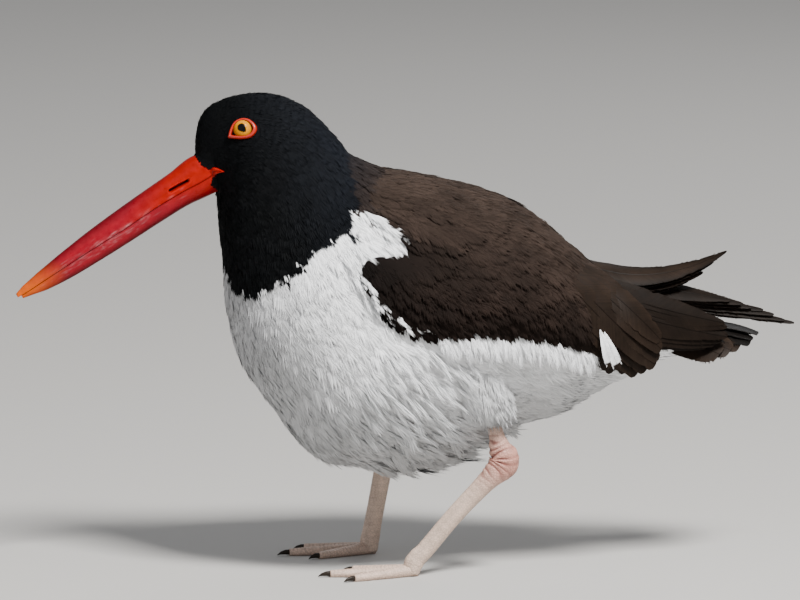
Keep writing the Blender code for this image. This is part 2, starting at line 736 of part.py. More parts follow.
def make_tail():
    """The tail: twelve feathers in a low arched fan, the middle ones on top."""
    tail = tail_core("tail", material("plumage_dark", PLUMAGE_DARK, 0.6))
    vanes = []
    for k in range(TAIL_COUNT):
        place = 2 * k / (TAIL_COUNT - 1) - 1
        far = abs(place)
        stack = STACK_STEP * TAIL_COUNT / 2 * (0.5 - far)
        root = np.array((TAIL_ROOT[0], TAIL_ROOT[1] * place, TAIL_ROOT[2]))
        shorter = TAIL_SHORTER * far ** 1.6
        tip = np.array((TAIL_TIP[0] - shorter, TAIL_TIP[1] * place, TAIL_TIP[2] - TAIL_DROP * far))
        tip += (random.uniform(-1.0, 1.0), 0.0, stack * 0.5)
        bend = (root + tip) / 2 + (0.0, 0.0, TAIL_RISE * (1 - 0.6 * far) + stack * 0.4)
        facing = (0.0, TAIL_LEAN * place, 1.0)
        vanes.append(vane((root, bend, tip), varied(TAIL_HALF_WIDTH, 0.05), facing, 0.4, 6.0))
    apply_cut(tail, vanes, "UNION")


def make_leg(word, side, path, foot):
    """A bare leg from the belly's feathers to the floor, its foot and its claws."""
    pink = material("leg_pink", LEG_PINK, 0.55)
    y = side * LEG_SIDE
    limb("leg_" + word, path, pink)
    joint = np.array((foot[0], y, foot[1]))
    toes = []
    claws = []
    for number, (length, turn) in enumerate(zip(TOE_LENGTHS, TOE_TURNS)):
        turn = math.radians(turn) * (1 if side < 0 else -1)
        way = np.array((-math.cos(turn), -math.sin(turn), 0.0))
        rows = []
        for share, radius in TOE_PROFILE:
            height = TOE_HEIGHT * (1.1 - 0.45 * max(share, 0.0))
            centre = joint * (1, 1, 0) + way * length * share + np.array((0.0, 0.0, height))
            rows.append((*centre, height * 1.12, radius))
        toes.append(limb("toe", rows, sides=TOE_SIDES))
        tip = joint * (1, 1, 0) + way * (length + GAP)
        claw = []
        for share, radius, height in CLAW_PROFILE:
            centre = tip + way * CLAW_LENGTH * share + np.array((0.0, 0.0, height))
            claw.append((*centre, radius, radius))
        claws.append(("claw_%s_%d" % (word, number + 1), claw))
    ankle = [
        (joint[0] + 1.0, y, 1.4, 3.4, 3.6),
        (joint[0] + 0.6, y, 3.2, 4.0, 3.7),
    ]
    ankle_end = np.array(path[-1][:3], float)
    way = ankle_end - np.array(path[-2][:3], float)
    way /= np.linalg.norm(way)
    top = ankle_end + way * GAP
    ankle.append((*(top + way * ANKLE_NECK), path[-1][3], path[-1][4]))
    ankle.append((*top, path[-1][3], path[-1][4]))
    foot_object = limb("foot_" + word, ankle, pink)
    apply_cut(foot_object, toes, "UNION")
    under = add_object(
        "floor_tool",
        [(x, yy, z) for x in (-90.0, 60.0) for yy in (-80.0, 80.0) for z in (-12.0, 0.0)],
        [(0, 1, 3, 2), (4, 6, 7, 5), (0, 4, 5, 1), (2, 3, 7, 6), (0, 2, 6, 4), (1, 5, 7, 3)],
    )
    apply_cut(foot_object, [under], "DIFFERENCE")
    for name, claw in claws:
        limb(name, claw, material("claw_dark", CLAW_DARK, 0.4), sides=TOE_SIDES)


def near_leg_path():
    """The near leg: a short bare stretch above the bent heel, and the long shank below it."""
    y = -LEG_SIDE
    top_x, top_z = NEAR_LEG_TOP
    heel_x, heel_z = HEEL
    end_x, end_z = NEAR_FOOT[0] + 2.6, NEAR_FOOT[1] + 2.6
    return (
        (top_x, y, top_z, 2.9, 2.8),
        (top_x + 1.4, y, top_z - 6.0, 3.2, 2.9),
        (top_x + 2.8, y, top_z - 11.0, 4.6, 3.7),
        (heel_x, y, heel_z + 1.5, 6.0, 4.3),
        (heel_x - 0.6, y, heel_z - 2.0, 6.2, 4.4),
        (heel_x - 5.0, y, heel_z - 6.5, 4.6, 3.8),
        (heel_x - 9.5, y, heel_z - 11.0, 3.9, 3.2),
        ((heel_x + end_x) / 2 - 3.0, y, (heel_z + end_z) / 2 - 3.0, 3.6, 3.0),
        (end_x + 3.5, y, end_z + 3.5, 3.6, 3.0),
        (end_x, y, end_z, 3.8, 3.2),
    )


def far_leg_path():
    """The far leg: its shank comes straight out of the belly's feathers, which hide the heel."""
    y = LEG_SIDE
    top_x, top_z = FAR_LEG_TOP
    end_x, end_z = FAR_FOOT[0] + 0.8, FAR_FOOT[1] + 3.4
    return (
        (top_x, y, top_z, 3.8, 3.2),
        ((top_x + end_x) / 2, y, (top_z + end_z) / 2, 3.6, 3.0),
        (end_x + 0.9, y, end_z + 5.0, 3.6, 3.0),
        (end_x, y, end_z, 3.8, 3.2),
    )


def make_legs():
    """Both legs with their feet."""
    make_leg("left", -1, near_leg_path(), NEAR_FOOT)
    make_leg("right", 1, far_leg_path(), FAR_FOOT)


def make_thighs():
    """The feathered thighs that close round the top of each bare leg."""
    white = material("down_white", PLUMAGE_WHITE, 0.9)
    for word, leg in (("left", near_leg_path()), ("right", far_leg_path())):
        top = np.array(leg[0][:3], float)
        way = top - np.array(leg[1][:3], float)
        way /= np.linalg.norm(way)
        path = []
        for high, depth, wide in THIGH_ROWS:
            free = max(high - THIGH_ROWS[1][0], 0.0)
            lean = np.array((-THIGH_LEAN * free, math.copysign(THIGH_OUT * free, top[1]), 0.0))
            path.append((*(top + way * (high + GAP) + lean), depth, wide))
        thigh = limb("thigh_" + word, path, white, sides=THIGH_SIDES)
        room = body_length("body_room", NECK_END, TORSO_END + 1.0, TORSO_ROWS, None, 0.0, 0.0)
        swell(room, GAP)
        apply_cut(thigh, [room], "DIFFERENCE")


def swell(target, amount):
    """Moves each point of a mesh out along its normal by an amount in millimetres."""
    mesh = target.data
    moves = [vertex.normal.copy() for vertex in mesh.vertices]
    for vertex, move in zip(mesh.vertices, moves):
        vertex.co += move * amount * MM


def leg_room(path):
    """A leg swollen by the gap and reaching past its top, which clears its place in the belly."""
    rows = [(x, y, z, depth + GAP, side + GAP) for x, y, z, depth, side in path]
    x, y, z, depth, side = rows[0]
    return limb("leg_room", [(x - 0.5, y, z + 4.0, depth, side)] + rows)


def make_body():
    """The neck, the torso and the rump."""
    black = material("plumage_black", PLUMAGE_BLACK, 0.75)
    white = material("plumage_white", PLUMAGE_WHITE, 0.85)
    down = material("down_white", PLUMAGE_WHITE, 0.9)
    body_length("neck", HEAD_END, NECK_END, NECK_ROWS, black, GAP / 2, GAP / 2)
    torso = body_length("torso", NECK_END, TORSO_END, TORSO_ROWS, white, GAP / 2, GAP / 2)
    apply_cut(torso, [leg_room(near_leg_path()), leg_room(far_leg_path())], "DIFFERENCE")
    body_length("rump", TORSO_END, len(BODY_SECTIONS) - 1.0, RUMP_ROWS, down, GAP / 2, 0.0)


def main():
    random.seed(SEED)
    for old in list(bpy.data.objects):
        bpy.data.objects.remove(old)
    make_body()
    make_head()
    make_bill()
    make_wings()
    make_tail()
    make_thighs()
    make_legs()


main()
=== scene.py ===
"""An adult American oystercatcher, half crouched over its feet: skin, plumage, bill, eyes and legs.

The sizes below are in millimetres in the bird's own frame: it faces -X, its left side is towards -Y
and the ground is Z = 0. metres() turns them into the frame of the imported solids.
"""

import math

import bmesh
import bpy
import numpy as np
from bpy.props import FloatProperty, FloatVectorProperty, IntProperty, PointerProperty
from bpy.types import Operator, Panel, PropertyGroup
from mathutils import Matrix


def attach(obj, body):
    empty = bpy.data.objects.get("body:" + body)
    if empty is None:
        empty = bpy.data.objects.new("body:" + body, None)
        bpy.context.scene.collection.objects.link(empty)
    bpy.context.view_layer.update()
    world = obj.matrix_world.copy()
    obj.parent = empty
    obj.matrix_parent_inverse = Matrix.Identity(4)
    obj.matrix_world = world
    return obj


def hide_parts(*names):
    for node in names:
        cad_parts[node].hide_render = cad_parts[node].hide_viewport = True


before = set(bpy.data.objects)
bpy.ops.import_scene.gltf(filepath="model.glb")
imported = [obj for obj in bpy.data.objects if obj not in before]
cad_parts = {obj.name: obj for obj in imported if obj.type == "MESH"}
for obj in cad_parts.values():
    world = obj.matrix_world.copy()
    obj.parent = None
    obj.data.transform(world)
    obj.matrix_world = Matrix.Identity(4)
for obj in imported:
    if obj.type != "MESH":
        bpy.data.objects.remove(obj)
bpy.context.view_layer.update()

bl_info = {
    "name": "Oystercatcher",
    "version": (1, 0, 0),
    "blender": (4, 5, 0),
    "location": "3D View > Sidebar > Oystercatcher",
    "description": "Dresses a still oystercatcher: skin, feathers, bill, eyes, legs and a plain stage",
    "category": "Object",
}

BODY = "root"
MM = 0.001
FRAME_SHIFT_X = -3.75

# Body sections from the face to the tail. Each row is a flat cut through the bird:
# upper point X, Z; lower point X, Z; half width; share by which the lower half is wider.
BODY_SECTIONS = (
    (-84.0, 166.5, -76.6, 157.0, 4.6, 0.0),
    (-83.4, 177.9, -73.9, 152.4, 5.8, 0.0),
    (-80.6, 186.4, -74.0, 149.5, 7.0, 0.0),
    (-73.6, 191.6, -74.5, 145.4, 9.4, 0.0),
    (-63.4, 194.3, -74.4, 140.1, 14.6, 0.02),
    (-51.1, 194.0, -74.0, 134.4, 18.2, 0.04),
    (-38.9, 188.9, -73.2, 127.4, 20.6, 0.05),
    (-28.6, 179.6, -72.8, 118.8, 24.0, 0.06),
    (-20.4, 170.6, -72.0, 107.7, 30.5, 0.08),
    (-11.5, 165.6, -67.2, 87.0, 41.0, 0.08),
    (-0.8, 161.8, -55.4, 67.6, 47.0, 0.08),
    (11.5, 157.6, -37.2, 46.2, 50.0, 0.08),
    (24.5, 152.8, -9.5, 39.4, 50.0, -0.04),
    (38.9, 146.6, 16.4, 41.8, 48.0, -0.16),
    (51.1, 139.0, 40.9, 52.8, 44.0, -0.2),
    (62.6, 130.0, 62.6, 59.3, 39.0, -0.12),
    (74.4, 120.5, 81.8, 69.6, 31.0, 0.0),
    (87.9, 110.5, 96.5, 76.2, 23.0, 0.0),
    (101.0, 101.5, 105.5, 82.0, 15.0, 0.0),
)
BODY_ROUNDNESS = 2.15
BODY_LAST = len(BODY_SECTIONS) - 1.0
SKIN_ROWS = 160
SKIN_SIDES = 112
# Depth of the coat under the solids' surface at body sections, in millimetres.
COAT_DEPTH = ((0.0, 0.5), (2.0, 0.8), (6.0, 1.2), (8.0, 1.8), (11.0, 2.6), (15.0, 2.6), (17.0, 1.8), (18.0, 1.0))

# Where the black hood ends, from the back line (0 degrees) to the throat line (180 degrees):
# degrees, body section.
HOOD_EDGE = (
    (0.0, 7.6), (23.0, 7.7), (40.0, 8.2), (51.0, 8.7), (59.0, 8.6), (64.0, 8.85), (78.0, 8.6), (85.0, 8.4),
    (96.0, 8.45), (111.0, 8.2), (132.0, 8.0), (152.0, 7.5), (158.0, 7.2), (168.0, 6.6), (180.0, 6.3),
)
# Lower edge of the brown mantle: body section, degrees from the back line.
MANTLE_EDGE = ((7.6, 64.0), (8.3, 57.5), (8.8, 52.5), (9.4, 50.0), (18.0, 50.0))
RUMP_WHITE_FROM = 16.7

# Wing cover on the body's side: body section, upper and lower edge in degrees, thickness.
WING_COVER = (
    (9.3, 14.0, 84.0, 2.8),
    (10.5, 8.0, 85.0, 4.0),
    (12.0, 6.0, 85.0, 4.8),
    (13.0, 5.0, 82.0, 4.8),
    (14.0, 5.0, 84.0, 4.6),
    (15.0, 5.0, 88.0, 4.2),
    (16.0, 6.0, 92.0, 3.6),
    (16.8, 8.0, 100.0, 2.8),
)
WING_FRONT = ((0.0, 9.7), (0.3, 9.3), (0.5, 9.7), (0.66, 10.7), (0.8, 10.0), (0.92, 9.9), (1.0, 10.7))
WING_REAR = ((0.0, 16.8), (0.5, 16.6), (1.0, 15.9))
WING_GRID = (84, 60)
WING_TOP_SHARE = 0.1
WING_TOP_DEGREES = 1.0
WING_RIM = 0.3
WING_SUNK = 1.5
WING_LIFT = 0.65
WING_COAT = 1.2

# Fans of long feathers, from the lowest feather to the highest. Each row: body section and degrees
# of the root, bend X, Y, Z, tip X, Y, Z, half width, and the way its upper face looks X, Y, Z.
NEAR_TERTIALS = (
    (14.3, 62.0, 68.0, -44.0, 103.0, 84.5, -29.5, 82.0, 6.0, 0.1, -1.0, 0.35),
    (14.8, 48.0, 79.0, -41.0, 105.0, 98.5, -28.5, 82.0, 7.0, 0.2, -1.0, 0.45),
    (15.3, 28.0, 86.0, -36.0, 110.0, 102.0, -27.0, 93.0, 6.0, 0.3, -1.0, 0.6),
)
NEAR_PRIMARIES = (
    (15.2, 68.0, 92.0, -31.0, 97.0, 122.0, -20.5, 89.5, 6.4, 0.0, -1.0, 0.25),
    (15.4, 58.0, 95.0, -30.0, 101.5, 131.0, -19.5, 93.0, 6.8, 0.0, -1.0, 0.35),
    (15.6, 46.0, 96.0, -28.0, 107.0, 130.0, -18.5, 98.5, 7.0, 0.0, -1.0, 0.4),
)
FAR_TERTIALS = (
    (15.6, 46.0, 88.0, 27.0, 105.0, 106.5, 18.0, 107.5, 6.5, 0.0, -0.5, 1.0),
    (15.7, 36.0, 98.0, 22.0, 105.7, 124.5, 15.0, 113.0, 7.0, 0.0, -0.6, 1.0),
    (15.8, 26.0, 103.0, 17.0, 105.6, 135.5, 13.0, 124.0, 5.6, 0.0, -0.8, 1.0),
)
FAR_PRIMARIES = (
    (15.4, 60.0, 108.0, 19.0, 104.5, 163.0, 10.0, 94.4, 5.6, 0.0, -0.9, 1.0),
    (15.6, 52.0, 106.0, 21.0, 108.3, 138.0, 11.5, 104.0, 6.4, 0.0, -0.9, 1.0),
)
# White-webbed feathers that show under the near wing's low rear edge: root, bend and tip.
WHITE_WEBS = (
    ((76.0, -37.5, 100.5), (78.0, -42.0, 93.5), (81.0, -38.0, 84.5)),
    ((77.5, -37.0, 100.0), (80.5, -41.5, 92.5), (84.0, -37.0, 83.5)),
)
VANE_ROOT_HEIGHT = 2.3

TAIL_COUNT = 12
TAIL_CORE_LENGTH = 24.0
TAIL_CORE_THIN = 0.62
TAIL_ROOT = (108.0, 6.5, 93.0)
TAIL_TIP = (147.0, 20.0, 91.0)
TAIL_RISE = 8.0
TAIL_SHORTER = 19.0
TAIL_DROP = 3.0
TAIL_HALF_WIDTH = 7.5

BILL_ROOT = (-72.0, 161.5)
BILL_TIP = (-156.2, 112.7)
# Distance from the root, culmen height, mouth height, lower edge height, half width.
BILL_SECTIONS = (
    (-6.0, 10.0, 1.0, -5.0, 4.6),
    (2.0, 11.4, 2.6, -5.2, 6.2),
    (9.0, 12.6, 2.6, -4.7, 6.2),
    (19.0, 11.3, 2.9, -3.7, 5.3),
    (32.0, 10.4, 2.7, -3.9, 4.6),
    (46.0, 9.3, 1.8, -4.4, 4.0),
    (60.0, 7.9, 1.4, -4.7, 3.4),
    (74.0, 6.0, 0.8, -4.7, 2.7),
    (85.0, 4.2, 0.2, -3.9, 2.0),
    (93.0, 2.6, -0.3, -2.3, 1.4),
    (97.0, 1.2, -0.4, -1.6, 1.0),
)
NOSTRIL_FROM_ROOT = 18.1
NOSTRIL_HEIGHT = 5.8
NOSTRIL_SIZE = (8.2, 1.1)
# Where the face's feathers end on the bill: height over the root, distance from the root.
# The bare gape runs back between the two middle rows as a narrow wedge.
FEATHER_EDGE = (
    (-6.0, 6.0), (-3.3, 6.3), (-0.3, 7.5), (2.0, 5.4), (2.9, 0.8), (5.0, 4.8), (8.0, 6.9), (13.0, 6.8),
)
# The gape on the head's side: body section, degrees from the back line of its middle, half width.
GAPE = ((0.0, 100.0, 30.0), (0.5, 104.0, 18.0), (1.0, 105.0, 10.0), (2.0, 103.5, 5.0), (3.15, 101.0, 0.5))

EYE_CENTRE = (-66.0, 181.0)
EYE_RADIUS = 4.6
EYE_STAND_OUT = 1.4
IRIS_RADIUS = 3.75
PUPIL_RADIUS = 1.6
# The lid's outer edge seen from outside: forward, up. The first point is the sharp front corner.
LID_OUTLINE = (
    (5.7, -4.0), (5.3, -1.6), (4.3, 1.4), (2.6, 3.3), (0.0, 4.2), (-2.7, 3.7), (-5.0, 2.0),
    (-5.9, 0.1), (-5.3, -2.0), (-3.4, -3.7), (-0.7, -4.3), (2.7, -4.3),
)
# The lid's swelling across its width: share of the outline, height over the feathers.
LID_PROFILE = (
    (1.0, -2.2), (1.0, -0.3), (0.965, 0.2), (0.9, 0.55), (0.83, 0.6), (0.775, 0.35), (0.745, -0.3),
    (0.76, -1.4), (0.88, -2.2),
)

LEG_SIDE = 30.0
HEEL = (38.2, 46.5)
NEAR_LEG_TOP = (33.8, 62.5)
NEAR_FOOT = (0.5, 5.0)
FAR_LEG_TOP = (-1.2, 43.0)
FAR_FOOT = (-8.5, 5.0)
THIGH_ROWS = (
    (0.0, 4.6, 4.2),
    (4.0, 8.5, 7.6),
    (9.0, 12.5, 10.6),
    (15.0, 15.5, 12.6),
    (22.0, 16.5, 12.6),
    (28.0, 14.5, 11.0),
)
THIGH_LEAN = 0.35
THIGH_OUT = 0.28
TOE_HEIGHT = 2.1
TOE_LENGTHS = (25.0, 33.0, 27.5)
TOE_TURNS = (-27.0, -2.0, 25.0)
CLAW_LENGTH = 5.0

# The photo's own view: degrees to the side, degrees up, and the width that the frame shows.
VIEW_AZIMUTH = -8.0
VIEW_ELEVATION = 8.0
VIEW_WIDTH = 324.0
VIEW_CENTRE_Z = 108.4
BAKE_PATCH = 0.003


def colour_property(name, description, value):
    """A colour that a user may change."""
    return FloatVectorProperty(
        name=name, description=description, default=value, subtype="COLOR", size=3, min=0.0, max=1.0
    )


def length_property(name, description, value):
    """A length that a user may change."""
    return FloatProperty(name=name, description=description, default=value, unit="LENGTH", min=0.0)


class PlumageSettings(PropertyGroup):
    """Colours and feather lengths of the coat."""

    black: colour_property("Hood", "Black of the head and neck", (0.0016, 0.0019, 0.0023))
    # The nape colour is a painted sheen: a lighter, bluer black painted over the hood's top, which also starts the
    # mantle's brown.
    nape: colour_property("Nape", "Cooler black of the crown and nape", (0.0055, 0.0068, 0.0100))
    mantle: colour_property("Mantle", "Brown of the upper back", (0.033, 0.0225, 0.0175))
    wing: colour_property("Wing", "Darker brown of the folded wing", (0.0170, 0.0108, 0.0085))
    flight: colour_property("Flight feathers", "Brown of the long wing feathers", (0.0135, 0.0086, 0.0059))
    tail: colour_property("Tail", "Blackish brown of the tail and wing tips", (0.0048, 0.0040, 0.0036))
    white: colour_property("White", "White of the breast, belly and wing patch", (0.90, 0.91, 0.925))
    face_length: length_property("Face feathers", "Length of the feathers by the bill", 0.0026)
    neck_length: length_property("Neck feathers", "Length of the feathers on the lower neck", 0.0058)
    breast_length: length_property("Breast feathers", "Length of the breast feathers", 0.0105)
    belly_length: length_property("Belly feathers", "Length of the loose belly feathers", 0.0130)
    mantle_length: length_property("Mantle feathers", "Length of the upper back's feathers", 0.0105)
    covert_length: length_property("Wing coverts", "Length of the small wing feathers", 0.0115)
    seed: IntProperty(name="Seed", description="Start of the random draws", default=7)


class BareSettings(PropertyGroup):
    """Colours of the bill, lids, eyes, legs and claws."""

    bill_base: colour_property("Bill base", "Orange-red at the base", (0.30, 0.0032, 0.0003))
    bill_middle: colour_property("Bill middle", "Rose red of the middle", (0.25, 0.004, 0.013))
    bill_tip: colour_property("Bill tip", "Yellow-orange of the worn tip", (0.56, 0.088, 0.0004))
    lid: colour_property("Lid", "Red ring of bare skin round the eye", (0.44, 0.012, 0.0008))
    iris: colour_property("Iris", "Golden iris", (0.56, 0.22, 0.0005))
    leg: colour_property("Leg", "Pale pink of the shank", (0.66, 0.53, 0.43))
    heel: colour_property("Heel", "Deeper pink of the heel and its folds", (0.60, 0.27, 0.21))
    claw: colour_property("Claw", "Dark horn", (0.022, 0.016, 0.012))


class StageSettings(PropertyGroup):
    """The floor, the light and the camera."""

    floor: colour_property("Floor", "Pale floor", (0.48, 0.468, 0.45))
    distance: length_property("Camera distance", "From the camera to the bird", 6.0)
    key: FloatProperty(name="Key light", description="Power of the large light", default=74.0, unit="POWER")
    fill: FloatProperty(name="Fill light", description="Power of the soft light opposite", default=5.0, unit="POWER")


def plumage():
    return bpy.context.scene.oystercatcher_plumage


def bare():
    return bpy.context.scene.oystercatcher_bare


def metres(points):
    """Millimetres in the bird's frame, turned into metres in the solids' frame."""
    moved = np.array(points, float)
    moved[..., 0] += FRAME_SHIFT_X
    return moved * MM


def unit(vectors):
    """Vectors made one long."""
    length = np.linalg.norm(vectors, axis=-1, keepdims=True)
    return vectors / np.maximum(length, 1e-9)


def smooth_rows(table, positions):
    """Reads a table of sizes at many places between its rows, on a smooth curve through them."""
    table = np.array(table, float)
    last = len(table) - 1
    positions = np.clip(np.atleast_1d(positions).astype(float), 0.0, last)
    i = np.minimum(positions.astype(int), last - 1)
    t = (positions - i)[:, None]
    a, b = table[i], table[i + 1]
    slope_a = (b - table[np.maximum(i - 1, 0)]) / np.where(i > 0, 2.0, 1.0)[:, None]
    slope_b = (table[np.minimum(i + 2, last)] - a) / np.where(i + 2 <= last, 2.0, 1.0)[:, None]
    t2, t3 = t * t, t * t * t
    return a * (2 * t3 - 3 * t2 + 1) + slope_a * (t3 - 2 * t2 + t) + b * (3 * t2 - 2 * t3) + slope_b * (t3 - t2)


def keyed(table, keys):
    """Reads a table whose first column is a key that grows, at many keys."""
    columns = np.array(table, float)
    return smooth_rows(table, np.interp(np.atleast_1d(keys), columns[:, 0], np.arange(len(columns))))


def power(values, roundness):
    """A signed power, which turns a circle into a squarer or rounder section."""
    return np.copysign(np.abs(values) ** (2.0 / roundness), values)


def body_surface(positions, degrees):
    """The body's outside at section numbers and angles; positive angles are its left side."""
    rows = smooth_rows(BODY_SECTIONS, positions)
    turn = np.radians(degrees)
    up = power(np.cos(turn), BODY_ROUNDNESS)
    out = power(np.sin(turn), BODY_ROUNDNESS)
    top_x, top_z, low_x, low_z, half_width, lower = rows.T
    x = (top_x + low_x) / 2 + (top_x - low_x) / 2 * up
    z = (top_z + low_z) / 2 + (top_z - low_z) / 2 * up
    return np.stack((x, -half_width * out * (1 - lower * up), z), axis=-1)


def body_axes(positions, degrees):
    """At each place of the body: the way to the tail, the way round and the way out."""
    step = 0.03
    along = body_surface(positions + step, degrees) - body_surface(positions - step, degrees)
    around = body_surface(positions, degrees + 1.5) - body_surface(positions, degrees - 1.5)
    return unit(along), unit(around), unit(np.cross(around, along))


def coat_depth(positions):
    columns = np.array(COAT_DEPTH)
    return np.interp(positions, columns[:, 0], columns[:, 1])


def body_unwrap(positions, degrees):
    """The skin laid flat: its own shape unrolled, as wide at each section as the section is round."""
    half_width = smooth_rows(BODY_SECTIONS, positions)[:, 4]
    widest = max(row[4] for row in BODY_SECTIONS)
    across = 0.5 + degrees / 360.0 * (0.2 + 0.76 * half_width / widest)
    return np.stack((across, 0.02 + 0.96 * positions / BODY_LAST), axis=-1)


def hood_edge(degrees):
    columns = np.array(HOOD_EDGE)
    return np.interp(np.abs(degrees), columns[:, 0], columns[:, 1])


def mantle_edge(positions):
    columns = np.array(MANTLE_EDGE)
    return np.interp(positions, columns[:, 0], columns[:, 1])


def body_tones(positions, degrees, rng=None):
    """The plumage's colour at places of the body, the same for the skin and the coat. The hood's top carries a
    painted sheen, and the lower white a painted shade.
    """
    p = plumage()
    black, nape, mantle, white = (np.array(c) for c in (p.black, p.nape, p.mantle, p.white))
    noise = np.zeros(len(positions)) if rng is None else rng.normal(0.0, 0.05, len(positions))
    around = np.abs(degrees)
    place = positions + noise
    hood = place < hood_edge(degrees)
    brown = ~hood & (around < mantle_edge(positions) + noise * 30) & (place < RUMP_WHITE_FROM)
    # Painted sheen: the hood is painted lighter and bluer towards its top.
    top = np.clip(1.4 - around / 70.0, 0.0, 1.0)[:, None] * np.clip((positions - 3.0) / 4.0, 0.0, 1.0)[:, None]
    # Painted shade: the white is painted darker round towards the belly, less so towards the tail.
    shade = np.interp(around, (80.0, 96.0, 116.0, 140.0, 180.0), (1.0, 0.88, 0.66, 0.5, 0.42))
    shade = shade + (1.0 - shade) * np.clip((positions - 15.0) / 3.0, 0.0, 0.5)
    tones = np.where(hood[:, None], black + (nape - black) * top, white * shade[:, None])
    near = np.clip((positions - 7.6) / 2.6, 0.0, 1.0)[:, None] ** 0.7
    tones = np.where(brown[:, None], nape + (mantle - nape) * near, tones)
    return tones


def attribute(mesh, name, kind, domain, key, values):
    """Stores values on a mesh under a name."""
    made = mesh.attributes.new(name, kind, domain)
    made.data.foreach_set(key, np.ascontiguousarray(values, np.float32).ravel())


def store_tones(mesh, tones):
    full = np.ones((len(tones), 4))
    full[:, :3] = tones
    attribute(mesh, "tone", "FLOAT_COLOR", "POINT", "color", full)


def add_piece(name, mesh, finish, smooth=True):
    """Links a finished mesh as a piece of the bird, riding on its body."""
    if smooth:
        mesh.shade_smooth()
    mesh.materials.clear()
    mesh.materials.append(finish)
    piece = bpy.data.objects.new(name, mesh)
    bpy.context.scene.collection.objects.link(piece)
    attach(piece, BODY)
    return piece


def solid_mesh(name, points, faces):
    """A mesh from millimetres, merged where points meet, with its faces turned outwards."""
    mesh = bpy.data.meshes.new(name)
    mesh.from_pydata(metres(points).tolist(), [], faces)
    shape = bmesh.new()
    shape.from_mesh(mesh)
    bmesh.ops.recalc_face_normals(shape, faces=shape.faces)
    if shape.calc_volume(signed=True) < 0:
        bmesh.ops.reverse_faces(shape, faces=shape.faces)
    shape.to_mesh(mesh)
    shape.free()
    return mesh


def tube_faces(rows, sides, first=0, caps=True):
    """Quads between rings of points, with a flat cap at each end."""
    faces = []
    for row in range(rows - 1):
        for side in range(sides):
            a = first + row * sides + side
            b = first + row * sides + (side + 1) % sides
            faces.append((a, b, b + sides, a + sides))
    if caps:
        faces.append(tuple(first + side for side in range(sides))[::-1])
        faces.append(tuple(first + (rows - 1) * sides + side for side in range(sides)))
    return faces


class Finish:
    """A small helper that wires one procedural material."""

    def __init__(self, name, roughness, **sockets):
        self.material = bpy.data.materials.new(name)
        self.material.use_nodes = True
        self.nodes = self.material.node_tree.nodes
        self.links = self.material.node_tree.links
        self.shader = self.nodes["Principled BSDF"]
        self.shader.inputs["Roughness"].default_value = roughness
        for socket, value in sockets.items():
            self.shader.inputs[socket.replace("_", " ")].default_value = value

    def node(self, kind, **settings):
        made = self.nodes.new("ShaderNode" + kind)
        for key, value in settings.items():
            if key in made.inputs.keys():
                made.inputs[key].default_value = value
            else:
                setattr(made, key, value)
        return made

    def named(self, name, output="Color"):
        return self.node("Attribute", attribute_name=name).outputs[output]

    def object_point(self):
        return self.node("TexCoord").outputs["Object"]

    def noise(self, scale, detail=3.0, vector=None):
        made = self.node("TexNoise")
        made.inputs["Scale"].default_value = scale
        made.inputs["Detail"].default_value = detail
        self.links.new(vector or self.object_point(), made.inputs["Vector"])
        return made.outputs["Fac"]

    def ramp(self, value, low, high, low_at=0.3, high_at=0.7):
        """A value turned into a multiplier between low and high."""
        made = self.node("MapRange")
        made.inputs["From Min"].default_value = low_at
        made.inputs["From Max"].default_value = high_at
        made.inputs["To Min"].default_value = low
        made.inputs["To Max"].default_value = high
        self.links.new(value, made.inputs["Value"])
        return made.outputs["Result"]

    def maths(self, operation, first, second):
        made = self.node("Math", operation=operation)
        for socket, value in zip(made.inputs, (first, second)):
            if isinstance(value, (int, float)):
                socket.default_value = value
            else:
                self.links.new(value, socket)
        return made.outputs[0]

    def scaled(self, colour, factor):
        """A colour multiplied by a value."""
        made = self.node("VectorMath", operation="SCALE")
        self.links.new(colour, made.inputs[0])
        self.links.new(factor, made.inputs["Scale"])
        return made.outputs[0]

    def colour(self, value):
        self.links.new(value, self.shader.inputs["Base Color"])

    def bump(self, height, distance, strength=0.6):
        made = self.node("Bump")
        made.inputs["Strength"].default_value = strength
        made.inputs["Distance"].default_value = distance
        self.links.new(height, made.inputs["Height"])
        self.links.new(made.outputs["Normal"], self.shader.inputs["Normal"])

    def roughness(self, value):
        self.links.new(value, self.shader.inputs["Roughness"])


def feather_finish(name, roughness, sheen, specular, contrast):
    """Feathers: the stored tone, patchy over the body, streaked barb by barb, darker at the root."""
    f = Finish(name, roughness, Sheen_Weight=sheen, Sheen_Roughness=0.45, Specular_IOR_Level=specular)
    leaf = f.node("SeparateXYZ")
    f.links.new(f.named("leaf", "Vector"), leaf.inputs[0])
    patches = f.ramp(f.noise(90.0, 4.0), 1.0 - contrast, 1.0 + contrast)
    barbs = f.ramp(leaf.outputs["Z"], 1.0 - contrast, 1.0 + contrast, 0.0, 1.0)
    roots = f.ramp(leaf.outputs["X"], 1.0 - 0.7 * contrast, 1.0 + 0.2 * contrast, 0.0, 0.9)
    f.colour(f.scaled(f.named("tone"), f.maths("MULTIPLY", f.maths("MULTIPLY", patches, barbs), roots)))
    return f.material


